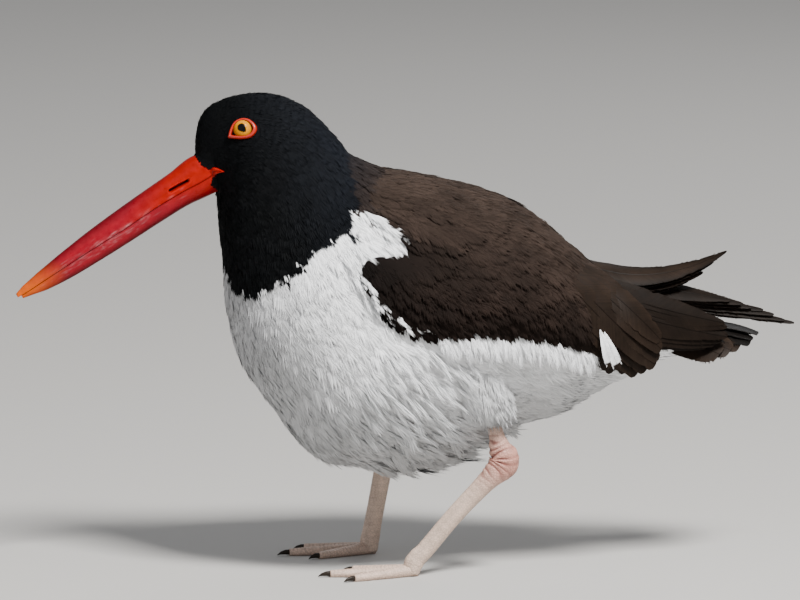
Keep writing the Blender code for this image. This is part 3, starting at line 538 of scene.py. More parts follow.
def vane_finish(name, roughness, contrast):
    """Long feathers: the stored tone with fine slanting barb lines in colour and relief."""
    f = Finish(name, roughness, Specular_IOR_Level=0.07)
    leaf = f.node("SeparateXYZ")
    f.links.new(f.named("leaf", "Vector"), leaf.inputs[0])
    slant = f.maths("SUBTRACT", f.maths("MULTIPLY", leaf.outputs["X"], 1.0), leaf.outputs["Y"])
    place = f.node("CombineXYZ")
    f.links.new(slant, place.inputs[0])
    f.links.new(leaf.outputs["Z"], place.inputs[1])
    lines = f.noise(2.2, 2.0, place.outputs[0])
    patches = f.ramp(f.noise(120.0, 3.0), 1.0 - contrast, 1.0 + contrast)
    f.colour(f.scaled(f.named("tone"), f.maths("MULTIPLY", patches, f.ramp(lines, 1 - contrast, 1 + contrast))))
    f.bump(lines, 0.00012, 0.5)
    return f.material


def skin_finish(name):
    """The ground under the coat: the same tones, soft and matt."""
    f = Finish(name, 0.85, Specular_IOR_Level=0.08)
    f.colour(f.scaled(f.named("tone"), f.ramp(f.noise(400.0, 3.0), 0.8, 0.98)))
    f.bump(f.noise(900.0, 2.0), 0.0003)
    return f.material


def horn_finish(name, roughness, grain, bumps):
    """Horn: the stored tone with fine grain and a satin gloss."""
    f = Finish(name, roughness, Specular_IOR_Level=0.16)
    f.colour(f.scaled(f.named("tone"), f.ramp(f.noise(grain, 5.0), 0.85, 1.12)))
    f.roughness(f.ramp(f.noise(grain * 2, 3.0), roughness - 0.08, roughness + 0.12))
    f.bump(f.noise(grain * 3, 4.0), bumps)
    return f.material


def scale_finish(name):
    """Bare leg skin: the stored tone, small plates and creases."""
    f = Finish(name, 0.5, Specular_IOR_Level=0.45)
    plates = f.node("TexVoronoi", feature="DISTANCE_TO_EDGE")
    plates.inputs["Scale"].default_value = 900.0
    f.links.new(f.object_point(), plates.inputs["Vector"])
    edges = f.ramp(plates.outputs["Distance"], 0.72, 1.0, 0.0, 0.12)
    f.colour(f.scaled(f.named("tone"), f.maths("MULTIPLY", edges, f.ramp(f.noise(350.0, 4.0), 0.88, 1.1))))
    f.bump(plates.outputs["Distance"], 0.0004, 0.7)
    return f.material


def eye_finish(name):
    """A wet eyeball: the stored ring colours with fine spokes under a clear coat."""
    f = Finish(name, 0.25, Coat_Weight=0.04, Coat_Roughness=0.05, Specular_IOR_Level=0.06)
    f.colour(f.scaled(f.named("tone"), f.ramp(f.noise(2200.0, 3.0), 0.82, 1.12)))
    return f.material


def lid_finish(name):
    """Fleshy lid skin, slightly moist."""
    f = Finish(name, 0.38, Coat_Weight=0.3, Coat_Roughness=0.3)
    f.colour(f.scaled(f.named("tone"), f.ramp(f.noise(1500.0, 3.0), 0.85, 1.08)))
    f.bump(f.noise(2500.0, 3.0), 0.0001)
    return f.material


FINISHES = {}


def finish(name):
    """The material of a name, made the first time that it is asked for."""
    makers = {
        "hood": lambda: feather_finish("hood_feathers", 0.72, 0.0, 0.07, 0.12),
        "white": lambda: feather_finish("white_feathers", 0.85, 0.1, 0.1, 0.04),
        "brown": lambda: feather_finish("brown_feathers", 0.75, 0.01, 0.06, 0.15),
        "flight": lambda: vane_finish("flight_feathers", 0.5, 0.25),
        "skin": lambda: skin_finish("feathered_skin"),
        "bill": lambda: horn_finish("bill_horn", 0.34, 300.0, 0.00008),
        "claw": lambda: horn_finish("claw_horn", 0.4, 700.0, 0.00006),
        "lid": lambda: lid_finish("lid_skin"),
        "eye": lambda: eye_finish("eyeball"),
        "leg": lambda: scale_finish("leg_skin"),
    }
    if name not in FINISHES:
        FINISHES[name] = makers[name]()
    return FINISHES[name]


def bill_axes():
    """The bill's root, its forward direction and its upward direction."""
    root = np.array((BILL_ROOT[0], 0.0, BILL_ROOT[1]))
    forward = unit(np.array((BILL_TIP[0], 0.0, BILL_TIP[1])) - root)
    return root, forward, np.array((forward[2], 0.0, -forward[0]))


def clear_of_bill(points, margin):
    """True for points outside the bill by a margin."""
    root, forward, up = bill_axes()
    along = (points - root) @ forward
    height = (points - root) @ up
    rows = keyed(BILL_SECTIONS, along)
    inside = (along > BILL_SECTIONS[0][0]) & (np.abs(points[:, 1]) < rows[:, 4] + margin)
    inside &= (height < rows[:, 1] + margin) & (height > rows[:, 3] - margin)
    return ~inside


def eye_frame(side):
    """The eye's place on the head's side, and its outward, forward and upward directions."""
    positions, degrees = (a.ravel() for a in np.meshgrid(np.arange(3.0, 5.5, 0.05), np.arange(30.0, 100.0, 2.0)))
    points = body_surface(positions, degrees)
    best = np.argmin(np.hypot(points[:, 0] - EYE_CENTRE[0], points[:, 2] - EYE_CENTRE[1]))
    place = points[best]
    out = body_axes(positions, degrees)[2][best]
    mirror = np.array((1.0, -side, 1.0))
    place, out = place * mirror, out * mirror
    forward = unit(np.cross((0.0, 0.0, 1.0), out))
    forward = -forward if forward[0] > 0 else forward
    up = unit(np.cross(forward, out))
    return place, out, forward, -up if up[2] < 0 else up


def clear_of_eyes(points, margin):
    """True for points outside the lids by a margin."""
    clear = np.ones(len(points), bool)
    outline = np.array(LID_OUTLINE)
    for side in (-1, 1):
        place, out, forward, up = eye_frame(side)
        flat = np.stack(((points - place) @ forward, (points - place) @ up), axis=-1)
        near = np.abs((points - place) @ out) < 8.0
        reach = np.abs(flat) / (np.abs(outline).max(axis=0) - 0.6 + margin)
        clear &= ~(near & (np.sum(reach ** 2, axis=-1) < 1.0))
    return clear


def limb_points(path, sides):
    """Rings along a limb. Each row of path is X, Y, Z, depth radius, side radius."""
    rows = np.array(path, float)
    centres = rows[:, :3]
    ends = np.concatenate((centres[:1], centres, centres[-1:]))
    along = unit(ends[2:] - ends[:-2])
    side = unit(np.cross(along, np.cross((0.0, 1.0, 0.0), along)))
    depth = np.cross(along, side)
    turn = 2 * np.pi * np.arange(sides) / sides
    rings = (
        centres[:, None]
        + depth[:, None] * (rows[:, 3, None] * np.cos(turn))[..., None]
        + side[:, None] * (rows[:, 4, None] * np.sin(turn))[..., None]
    )
    return rings.reshape(-1, 3)


def near_leg_path():
    """The near leg: a short bare stretch above the bent heel, and the long shank below it."""
    top_x, top_z = NEAR_LEG_TOP
    heel_x, heel_z = HEEL
    end_x, end_z = NEAR_FOOT[0] + 2.6, NEAR_FOOT[1] + 2.6
    y = -LEG_SIDE
    return (
        (top_x - 0.8, y, top_z + 3.5, 2.9, 2.8),
        (top_x, y, top_z, 2.9, 2.8),
        (top_x + 1.4, y, top_z - 6.0, 3.2, 2.9),
        (top_x + 2.8, y, top_z - 11.0, 4.6, 3.7),
        (heel_x, y, heel_z + 1.5, 6.0, 4.3),
        (heel_x - 0.6, y, heel_z - 2.0, 6.2, 4.4),
        (heel_x - 5.0, y, heel_z - 6.5, 4.6, 3.8),
        (heel_x - 9.5, y, heel_z - 11.0, 3.9, 3.2),
        ((heel_x + end_x) / 2 - 3.0, y, (heel_z + end_z) / 2 - 3.0, 3.6, 3.0),
        (end_x + 3.5, y, end_z + 3.5, 3.6, 3.0),
        (end_x, y, end_z, 3.8, 3.2),
        (end_x - 1.8, y, end_z - 2.6, 3.9, 3.5),
        (NEAR_FOOT[0] + 0.2, y, 2.6, 3.5, 3.5),
        (NEAR_FOOT[0], y, 1.1, 3.0, 3.2),
        (NEAR_FOOT[0], y, 0.35, 1.6, 1.8),
    )


def far_leg_path():
    """The far leg: its shank comes straight out of the belly's feathers, which hide the heel."""
    top_x, top_z = FAR_LEG_TOP
    end_x, end_z = FAR_FOOT[0] + 0.8, FAR_FOOT[1] + 3.4
    y = LEG_SIDE
    return (
        (top_x + 0.8, y, top_z + 4.0, 3.8, 3.2),
        (top_x, y, top_z, 3.8, 3.2),
        ((top_x + end_x) / 2, y, (top_z + end_z) / 2, 3.6, 3.0),
        (end_x + 0.9, y, end_z + 5.0, 3.6, 3.0),
        (end_x, y, end_z, 3.8, 3.2),
        (end_x - 0.6, y, end_z - 3.0, 3.9, 3.5),
        (FAR_FOOT[0] + 0.2, y, 2.6, 3.5, 3.5),
        (FAR_FOOT[0], y, 1.1, 3.0, 3.2),
        (FAR_FOOT[0], y, 0.35, 1.6, 1.8),
    )


def thigh_path(leg, inset):
    """The feathered thigh that closes round the top of a bare leg."""
    top = np.array(leg[1][:3], float)
    way = unit(top - np.array(leg[2][:3], float))
    path = []
    for high, depth, wide in THIGH_ROWS:
        free = max(high - THIGH_ROWS[1][0], 0.0)
        lean = np.array((-THIGH_LEAN * free, math.copysign(THIGH_OUT * free, top[1]), 0.0))
        path.append((*(top + way * (high + 0.6) + lean), max(depth - inset, 3.0), max(wide - inset, 2.8)))
    return path


def make_skin():
    """One skin from the face to the tail, with the lobes of both thighs."""
    rows, sides = SKIN_ROWS, SKIN_SIDES
    positions = np.repeat(np.linspace(0.0, BODY_LAST, rows), sides)
    degrees = np.tile(np.linspace(-180.0, 180.0, sides, endpoint=False), rows)
    out = body_axes(np.clip(positions, 0.05, BODY_LAST - 0.05), degrees)[2]
    points = body_surface(positions, degrees) - out * coat_depth(positions)[:, None]
    tones = body_tones(positions, degrees)
    unwrap = body_unwrap(positions, degrees)
    faces = tube_faces(rows, sides)
    lobe_rows, lobe_sides = 20, 24
    for leg in (near_leg_path(), far_leg_path()):
        path = smooth_rows(thigh_path(leg, 2.4), np.linspace(0, len(THIGH_ROWS) - 1, lobe_rows))
        faces += tube_faces(lobe_rows, lobe_sides, len(points))
        lobe = limb_points(path, lobe_sides)
        points = np.concatenate((points, lobe))
        # Painted shade: the thighs' skin is the white darkened to 0.7.
        tones = np.concatenate((tones, np.tile(np.array(plumage().white) * 0.7, (len(lobe), 1))))
        spot = np.array((0.02 if leg[0][1] < 0 else 0.9, 0.02)) + np.zeros((len(lobe), 2))
        spot[:, 0] += 0.07 * np.tile(np.arange(lobe_sides), lobe_rows) / lobe_sides
        spot[:, 1] += 0.07 * np.repeat(np.arange(lobe_rows), lobe_sides) / lobe_rows
        unwrap = np.concatenate((unwrap, spot))
    mesh = solid_mesh("skin", points, faces)
    store_tones(mesh, tones)
    corners = np.empty(len(mesh.loops), int)
    mesh.loops.foreach_get("vertex_index", corners)
    uv = unwrap[corners]
    starts = np.empty(len(mesh.polygons), int)
    mesh.polygons.foreach_get("loop_start", starts)
    for start, count in zip(starts.tolist(), (p.loop_total for p in mesh.polygons)):
        patch = uv[start:start + count]
        if count == 4 and patch[:, 0].max() - patch[:, 0].min() > 0.15:
            patch[patch[:, 0] < 0.5, 0] = 1.0 - patch[patch[:, 0] < 0.5, 0].min()
    attribute(mesh, "OFBake", "FLOAT2", "CORNER", "vector", uv)
    skin = add_piece("skin", mesh, finish("skin"))
    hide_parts("head", "neck", "torso", "rump", "thigh_left", "thigh_right")
    return skin


def add_blade(store, root, tip, width, rise, tint):
    """A barb: a closed blade with a low ridge, from root to tip."""
    root, tip = np.array(root, float), np.array(tip, float)
    side = unit(np.cross((0.0, 0.0, 1.0), tip - root)) * width
    middle = root + (tip - root) * 0.45 + (0.0, 0.0, rise)
    first = len(store["points"])
    store["points"] += [root, middle - side, middle + side, middle + (0.0, 0.0, width * 0.28), tip]
    store["leaf"] += [(q[0], q[1] + 0.5, tint) for q in store["points"][first:]]
    for face in ((0, 3, 1), (1, 3, 4), (4, 3, 2), (2, 3, 0), (0, 1, 2), (1, 4, 2)):
        store["faces"].append(tuple(first + v for v in face))


def add_hair(store, root, tip, width, tint):
    """A single thin hair of a feather: a closed spike of four faces."""
    root, tip = np.array(root, float), np.array(tip, float)
    side = unit(np.cross((0.0, 0.0, 1.0), tip - root)) * width
    first = len(store["points"])
    store["points"] += [root - side, root + side, root + (0.0, 0.0, width), tip]
    store["leaf"] += [(q[0], q[1] + 0.5, tint) for q in store["points"][first:]]
    for face in ((0, 2, 3), (2, 1, 3), (1, 0, 3), (0, 1, 2)):
        store["faces"].append(tuple(first + v for v in face))


def add_leaf(store, half_width, bow, rings=5):
    """A closed thin vane with a raised shaft, one long."""
    first = len(store["points"])
    for i in range(rings):
        x = 0.05 + 0.75 * i / (rings - 1)
        w = half_width * math.sin(math.pi * min(0.12 + 0.78 * x, 1.0)) ** 0.6
        z = bow * math.sin(math.pi * x)
        for y, lift in ((-w, -0.025), (0.0, 0.01), (w, -0.025), (0.0, -0.012)):
            store["points"].append(np.array((x, y, z + lift)))
            store["leaf"].append((x, y + 0.5, 0.5))
    for i in range(rings - 1):
        for k in range(4):
            a, b = first + i * 4 + k, first + i * 4 + (k + 1) % 4
            store["faces"] += [(a, b, b + 4), (a, b + 4, a + 4)]
    last = first + (rings - 1) * 4
    store["faces"] += [(first, first + 2, first + 1), (first, first + 3, first + 2)]
    store["faces"] += [(last, last + 1, last + 2), (last, last + 2, last + 3)]


def feather_shape(name, kind, rng):
    """One small feather, one long, pointing along +X with its outside up."""
    store = {"points": [], "faces": [], "leaf": []}
    if kind == "velvet":
        for k in range(4):
            turn = (k - 1.5) * 0.16 + rng.normal(0, 0.04)
            reach = 0.85 + rng.uniform(0, 0.15)
            tip = (reach * math.cos(turn), reach * math.sin(turn), 0.0)
            add_blade(store, (0.0, (k - 1.5) * 0.06, -0.05), tip, 0.095, 0.04, rng.uniform())
    elif kind == "soft":
        for k in range(7):
            turn = (k - 3) * 0.105 + rng.normal(0, 0.02)
            reach = 0.8 + rng.uniform(0, 0.2)
            tip = (reach * math.cos(turn), reach * math.sin(turn), 0.0)
            add_blade(store, (0.0, (k - 3) * 0.03, -0.04), tip, 0.085, 0.03, rng.uniform())
    elif kind == "silk":
        for k in range(8):
            side = -1 if k % 2 else 1
            start = 0.02 + 0.45 * k / 8
            reach = min(start + 0.6 + rng.uniform(-0.05, 0.1), 1.0)
            spread = side * (0.05 + 0.2 * (1 - k / 8)) * rng.uniform(0.6, 1.2)
            root = (start, 0.0, 0.03 * math.sin(math.pi * start) - 0.02)
            add_blade(store, root, (reach, spread, rng.uniform(-0.02, 0.015)), 0.052, 0.03, rng.uniform())
        for k in range(5):
            start = rng.uniform(0.3, 0.6)
            tip = (start + rng.uniform(0.4, 0.55), rng.uniform(-0.24, 0.24), rng.uniform(-0.01, 0.05))
            add_hair(store, (start, tip[1] * 0.5, 0.02), tip, 0.013, rng.uniform())
    else:
        add_leaf(store, 0.2, 0.04)
        for k in range(10):
            side = -1 if k % 2 else 1
            start = 0.2 + 0.5 * k / 10
            spread = side * (0.26 - 0.22 * (k / 10) ** 2) * rng.uniform(0.8, 1.15)
            root = (start, spread * 0.35, 0.04 * math.sin(math.pi * start) + 0.008)
            tip = (min(start + 0.38, 1.0) + rng.uniform(-0.05, 0.05), spread, 0.0)
            add_blade(store, root, tip, 0.042, 0.018, rng.uniform())
    mesh = bpy.data.meshes.new(name)
    mesh.from_pydata([tuple(p) for p in store["points"]], [], store["faces"])
    attribute(mesh, "leaf", "FLOAT_VECTOR", "POINT", "vector", np.array(store["leaf"]))
    return bpy.data.objects.new(name, mesh)


TEMPLATES = {}
# How far the shading of each kind of small feather follows the body's own shape.
SOFTNESS = {"velvet": 0.6, "soft": 0.8, "silk": 0.75, "firm": 0.6}


def feather_kinds(kind):
    """A collection with a few versions of one kind of small feather."""
    if kind not in TEMPLATES:
        rng = np.random.default_rng(plumage().seed + len(TEMPLATES))
        TEMPLATES[kind] = bpy.data.collections.new(kind + "_feathers")
        for k in range(4):
            TEMPLATES[kind].objects.link(feather_shape(kind + "_%d" % k, kind, rng))
    return TEMPLATES[kind]


def coat_tree():
    """Nodes that set a feather on each point, lying along its stored way, and join them all."""
    tree = bpy.data.node_groups.get("feather_coat")
    if tree:
        return tree
    tree = bpy.data.node_groups.new("feather_coat", "GeometryNodeTree")
    for name, kind in (
        ("Geometry", "NodeSocketGeometry"), ("Feathers", "NodeSocketCollection"), ("Finish", "NodeSocketMaterial"),
        ("Seed", "NodeSocketInt"), ("Lift", "NodeSocketFloat"), ("Lift Spread", "NodeSocketFloat"),
        ("Turn Spread", "NodeSocketFloat"), ("Bake Patch", "NodeSocketFloat"),
    ):
        tree.interface.new_socket(name=name, in_out="INPUT", socket_type=kind)
    tree.interface.new_socket(name="Geometry", in_out="OUTPUT", socket_type="NodeSocketGeometry")

    def node(kind, **settings):
        made = tree.nodes.new(kind)
        for key, value in settings.items():
            setattr(made, key, value)
        return made

    def named(name, kind):
        made = node("GeometryNodeInputNamedAttribute", data_type=kind)
        made.inputs["Name"].default_value = name
        return made.outputs["Attribute"]

    def maths(operation, first, second):
        made = node("ShaderNodeMath", operation=operation)
        for socket, value in zip(made.inputs, (first, second)):
            if isinstance(value, float):
                socket.default_value = value
            else:
                tree.links.new(value, socket)
        return made.outputs[0]

    link = tree.links.new
    given = node("NodeGroupInput").outputs
    draw = node("FunctionNodeRandomValue", data_type="FLOAT_VECTOR")
    draw.inputs[0].default_value = (-1.0, -1.0, -1.0)
    link(given["Seed"], draw.inputs["Seed"])
    spread = node("ShaderNodeSeparateXYZ")
    link(draw.outputs[0], spread.inputs[0])
    lift = maths("ADD", given["Lift"], maths("MULTIPLY", spread.outputs["X"], given["Lift Spread"]))
    turn = maths("MULTIPLY", spread.outputs["Y"], given["Turn Spread"])
    tilt = node("ShaderNodeCombineXYZ")
    link(turn, tilt.inputs["X"])
    link(maths("MULTIPLY", lift, -1.0), tilt.inputs["Y"])
    link(maths("MULTIPLY", turn, 0.7), tilt.inputs["Z"])
    tilt_turn = node("FunctionNodeEulerToRotation")
    link(tilt.outputs[0], tilt_turn.inputs[0])
    axes = node("FunctionNodeAxesToRotation", primary_axis="X", secondary_axis="Z")
    link(named("lie", "FLOAT_VECTOR"), axes.inputs["Primary Axis"])
    link(named("out", "FLOAT_VECTOR"), axes.inputs["Secondary Axis"])
    turned = node("FunctionNodeRotateRotation", rotation_space="LOCAL")
    link(axes.outputs[0], turned.inputs["Rotation"])
    link(tilt_turn.outputs[0], turned.inputs["Rotate By"])
    kinds = node("GeometryNodeCollectionInfo")
    kinds.inputs["Separate Children"].default_value = True
    kinds.inputs["Reset Children"].default_value = True
    link(given["Feathers"], kinds.inputs["Collection"])
    pick = node("FunctionNodeRandomValue", data_type="INT")
    for socket in pick.inputs:
        if socket.name == "Min" and socket.type == "INT":
            socket.default_value = 0
        if socket.name == "Max" and socket.type == "INT":
            socket.default_value = 3
    link(given["Seed"], pick.inputs["Seed"])
    placed = node("GeometryNodeInstanceOnPoints")
    placed.inputs["Pick Instance"].default_value = True
    link(given["Geometry"], placed.inputs["Points"])
    link(kinds.outputs[0], placed.inputs["Instance"])
    picked = [socket for socket in pick.outputs if socket.type == "INT" and socket.enabled][0]
    link(picked, placed.inputs["Instance Index"])
    link(turned.outputs[0], placed.inputs["Rotation"])
    link(named("size", "FLOAT_VECTOR"), placed.inputs["Scale"])
    realized = node("GeometryNodeRealizeInstances")
    link(placed.outputs[0], realized.inputs[0])
    patch = node("ShaderNodeVectorMath", operation="SCALE")
    link(named("leaf", "FLOAT_VECTOR"), patch.inputs[0])
    link(given["Bake Patch"], patch.inputs["Scale"])
    spot = node("ShaderNodeVectorMath", operation="ADD")
    link(named("unwrap", "FLOAT_VECTOR"), spot.inputs[0])
    link(patch.outputs[0], spot.inputs[1])
    baked = node("GeometryNodeStoreNamedAttribute", data_type="FLOAT2", domain="CORNER")
    baked.inputs["Name"].default_value = "OFBake"
    link(realized.outputs[0], baked.inputs["Geometry"])
    link(spot.outputs[0], baked.inputs["Value"])
    painted = node("GeometryNodeSetMaterial")
    link(baked.outputs[0], painted.inputs["Geometry"])
    link(given["Finish"], painted.inputs["Material"])
    link(painted.outputs[0], node("NodeGroupOutput").inputs[0])
    return tree


def soften(mesh, out, share):
    """Leans the shading of the feathers' outer faces towards the body's own shape, as in dense plumage."""
    corners = np.empty(len(mesh.loops), int)
    mesh.loops.foreach_get("vertex_index", corners)
    sides = np.empty(len(mesh.polygons), int)
    mesh.polygons.foreach_get("loop_total", sides)
    faces = np.empty(len(mesh.polygons) * 3)
    mesh.polygons.foreach_get("normal", faces)
    normals = np.repeat(faces.reshape(-1, 3), sides, axis=0)
    outer = np.sum(normals * out[corners], axis=1) > 0.1
    normals = np.where(outer[:, None], unit(normals * (1.0 - share) + out[corners] * share), normals)
    mesh.shade_smooth()
    mesh.normals_split_custom_set(normals.tolist())


def grow_coat(name, kind, material_name, roots, lift, lift_spread, turn_spread):
    """Sets small feathers of one kind on laid roots and turns them into a plain piece."""
    points = bpy.data.meshes.new(name + "_roots")
    points.from_pydata(metres(roots["point"]).tolist(), [], [])
    for key in ("lie", "out", "size", "unwrap"):
        attribute(points, key, "FLOAT_VECTOR", "POINT", "vector", roots[key])
    store_tones(points, roots["tone"])
    ground = bpy.data.objects.new(name + "_roots", points)
    bpy.context.scene.collection.objects.link(ground)
    tree = coat_tree()
    grower = ground.modifiers.new("coat", "NODES")
    grower.node_group = tree
    values = {
        "Feathers": feather_kinds(kind), "Finish": finish(material_name), "Seed": plumage().seed,
        "Lift": lift, "Lift Spread": lift_spread, "Turn Spread": turn_spread, "Bake Patch": BAKE_PATCH,
    }
    for item in tree.interface.items_tree:
        if item.in_out == "INPUT" and item.name in values:
            grower[item.identifier] = values[item.name]
    bpy.context.view_layer.update()
    grown = ground.evaluated_get(bpy.context.evaluated_depsgraph_get())
    mesh = bpy.data.meshes.new_from_object(grown)
    ground.modifiers.remove(grower)
    bpy.data.objects.remove(ground)
    ways = np.empty(len(mesh.vertices) * 3)
    mesh.attributes["out"].data.foreach_get("vector", ways)
    for spare in ("lie", "out", "size", "unwrap"):
        if spare in mesh.attributes:
            mesh.attributes.remove(mesh.attributes[spare])
    if not len(mesh.polygons):
        raise RuntimeError("no feathers grew on " + name)
    mesh.name = name
    print(name, len(roots["point"]), "feathers", sum(len(p.vertices) - 2 for p in mesh.polygons), "triangles")
    soften(mesh, unit(ways.reshape(-1, 3)), SOFTNESS[kind])
    return add_piece(name, mesh, finish(material_name), smooth=False)


def thin_out(points, spacing, rng):
    """Keeps about one point in each cell of a grid, in random order."""
    order = rng.permutation(len(points))
    cells = np.floor(points[order] / spacing).astype(np.int64)
    key = (cells[:, 0] * 4099 + cells[:, 1]) * 4099 + cells[:, 2]
    return order[np.unique(key, return_index=True)[1]]


def scatter_on_body(spacing, first, last, low, high, rng, keep=None):
    """Even random places on the body between two sections and two angles, both sides."""
    grid_u = np.linspace(first, last, 260)
    grid_d = np.linspace(low, high, 120)
    u, d = (a.ravel() for a in np.meshgrid(grid_u, grid_d, indexing="ij"))
    p = body_surface(u, d).reshape(260, 120, 3)
    cell = np.linalg.norm(np.cross(p[1:, :-1] - p[:-1, :-1], p[:-1, 1:] - p[:-1, :-1]), axis=-1).ravel()
    count = int(cell.sum() / spacing ** 2 * 5)
    picked = rng.choice(len(cell), count, p=cell / cell.sum())
    row, column = picked // 119, picked % 119
    positions = grid_u[row] + rng.uniform(0, 1, count) * (grid_u[1] - grid_u[0])
    degrees = grid_d[column] + rng.uniform(0, 1, count) * (grid_d[1] - grid_d[0])
    degrees *= rng.choice((-1.0, 1.0), count)
    if keep is not None:
        kept = keep(positions, degrees)
        positions, degrees = positions[kept], degrees[kept]
    chosen = thin_out(body_surface(positions, degrees), spacing, rng)
    return positions[chosen], degrees[chosen]


def in_gape(positions, degrees):
    """True on the bare wedge of skin behind the corner of the mouth."""
    rows = keyed(GAPE, np.minimum(positions, GAPE[-1][0]))
    below = np.abs(degrees) - rows[:, 1]
    clear = np.interp(positions, (1.0, 3.15), (7.0, 3.0))
    return (positions < GAPE[-1][0]) & (below > -rows[:, 2]) & (below < rows[:, 2] + clear)


def body_roots(positions, degrees, length, width, droop, rng, spread=0.15):
    """Everything that the coat's nodes need at places of the body."""
    along, _, out = body_axes(positions, degrees)
    down = np.array((0.0, 0.0, -1.0)) - out * (out @ np.array((0.0, 0.0, -1.0)))[:, None]
    lie = unit(along + down * np.broadcast_to(droop, len(positions))[:, None])
    beyond = positions - hood_edge(degrees)
    sunk = 0.15 + np.where(beyond >= 0, 0.4 * np.clip(1.0 - beyond / 0.45, 0.0, 1.0), 0.0)
    point = body_surface(positions, degrees) - out * (coat_depth(positions) + sunk)[:, None]
    keep = clear_of_bill(point, -0.4) & clear_of_eyes(point, 0.0) & ~in_gape(positions, degrees)
    tone = body_tones(positions, degrees, rng) * rng.normal(1.0, 0.06, len(positions))[:, None]
    size = np.broadcast_to(length, len(positions)) * rng.normal(1.0, spread, len(positions)).clip(0.6, 1.4)
    unwrap = np.zeros((len(positions), 3))
    unwrap[:, :2] = body_unwrap(positions, degrees)
    return {
        "point": point[keep], "lie": lie[keep], "out": out[keep], "unwrap": unwrap[keep],
        "tone": np.clip(tone, 0, 1)[keep], "size": np.stack((size, size * width, size), axis=-1)[keep],
    }


def under_wing(positions, degrees):
    """True where the folded wing covers the body well inside its edge."""
    around = np.abs(degrees)
    rows = keyed(WING_COVER, positions)
    share = np.clip((around - rows[:, 1]) / (rows[:, 2] - rows[:, 1]), 0, 1)
    front = keyed(WING_FRONT, share)[:, 1]
    rear = keyed(WING_REAR, share)[:, 1]
    inside = (positions > front + np.where(around < 55, 0.8, 0.35)) & (positions < rear - 0.5)
    return inside & (around > rows[:, 1] + 4) & (around < rows[:, 2] - 6)


def make_coats():
    """The body's coat, from the short velvet of the face to the loose feathers of the belly."""
    p = plumage()
    rng = np.random.default_rng(p.seed)

    def hood_part(positions, degrees):
        return positions < hood_edge(degrees)

    u, d = scatter_on_body(1.12, 0.05, 7.2, 0.0, 180.0, rng, hood_part)
    extra_u, extra_d = scatter_on_body(0.8, 0.0, 2.4, 0.0, 180.0, rng)
    u, d = np.concatenate((u, extra_u)), np.concatenate((d, extra_d))
    length = np.interp(u, (0.0, 2.0, 7.2), (p.face_length, p.face_length * 1.1, p.neck_length * 0.8))
    length = length * np.where(np.abs(d) > 110, np.interp(u, (0.0, 1.5), (0.5, 1.0)), 1.0)
    roots = body_roots(u, d, length, 1.0, 0.0, rng)
    base = bill_base_roots(rng)
    roots = {key: np.concatenate((roots[key], base[key])) for key in roots}
    grow_coat("coat_head", "velvet", "hood", roots, 0.1, 0.05, 0.25)
    u, d = scatter_on_body(1.3, 7.0, 9.2, 0.0, 180.0, rng, hood_part)
    roots = body_roots(u, d, p.neck_length, 0.9, 0.1, rng)
    grow_coat("coat_neck", "velvet", "hood", roots, 0.1, 0.06, 0.25)

    def mantle_part(positions, degrees):
        dark = (positions >= hood_edge(degrees)) & (np.abs(degrees) < mantle_edge(positions))
        return dark & ~under_wing(positions, degrees)

    u, d = scatter_on_body(1.9, 7.6, 16.9, 0.0, 64.0, rng, mantle_part)
    length = np.interp(u, (7.6, 9.5, 12.0), (p.neck_length, p.mantle_length * 0.85, p.mantle_length))
    roots = body_roots(u, d, length, 0.9, 0.05, rng)
    grow_coat("coat_mantle", "firm", "brown", roots, 0.08, 0.05, 0.2)

    def white_part(positions, degrees):
        around = np.abs(degrees)
        white = (positions >= hood_edge(degrees)) & (around >= mantle_edge(positions) - 0.5)
        return white & ~under_wing(positions, degrees)

    for name, kind, first, last, low, high, gap in (
        ("coat_shoulder", "silk", 7.0, 11.2, 50.0, 112.0, 1.75),
        ("coat_breast", "soft", 6.2, 11.2, 112.0, 180.0, 1.42),
        ("coat_flank", "silk", 11.2, 14.6, 78.0, 135.0, 2.0),
        ("coat_belly", "silk", 11.2, 14.6, 135.0, 180.0, 1.95),
        ("coat_vent", "soft", 14.6, 17.95, 60.0, 180.0, 1.65),
    ):
        u, d = scatter_on_body(gap, first, last, low, high, rng, white_part)
        length = np.interp(u, (7.6, 10.0, 13.0, 18.0), (0.007, p.breast_length, p.belly_length, 0.009))
        droop = np.interp(u, (8.0, 10.0, 14.0, 18.0), (0.15, 0.35, 0.5, 0.15))
        roots = body_roots(u, d, length, 1.0, droop, rng)
        lift = 0.03 if kind == "soft" else 0.05
        grow_coat(name, kind, "white", roots, lift, 0.03, 0.22)

    def rump_part(positions, degrees):
        return (positions > RUMP_WHITE_FROM) | (np.abs(degrees) > 80)

    u, d = scatter_on_body(2.2, 16.4, 17.95, 0.0, 62.0, rng, rump_part)
    roots = body_roots(u, d, 0.009, 1.0, 0.0, rng)
    grow_coat("coat_uppertail", "silk", "white", roots, 0.08, 0.06, 0.25)
    make_thigh_coat(rng)
    make_belly_wisps(rng)


def outside_body(points, depth):
    """True where points stand out of the body's surface, less a depth."""
    grid = np.meshgrid(np.linspace(9.5, 16.5, 130), np.linspace(60.0, 180.0, 110), indexing="ij")
    positions, degrees = (g.ravel() for g in grid)
    surface, out = body_surface(positions, degrees), body_axes(positions, degrees)[2]
    mirrored = points * np.where(points[:, 1:2] > 0, (1.0, -1.0, 1.0), (1.0, 1.0, 1.0))
    nearest = np.array([np.argmin(np.sum((surface - p) ** 2, axis=1)) for p in mirrored])
    return np.sum((mirrored - surface[nearest]) * out[nearest], axis=1) > -depth


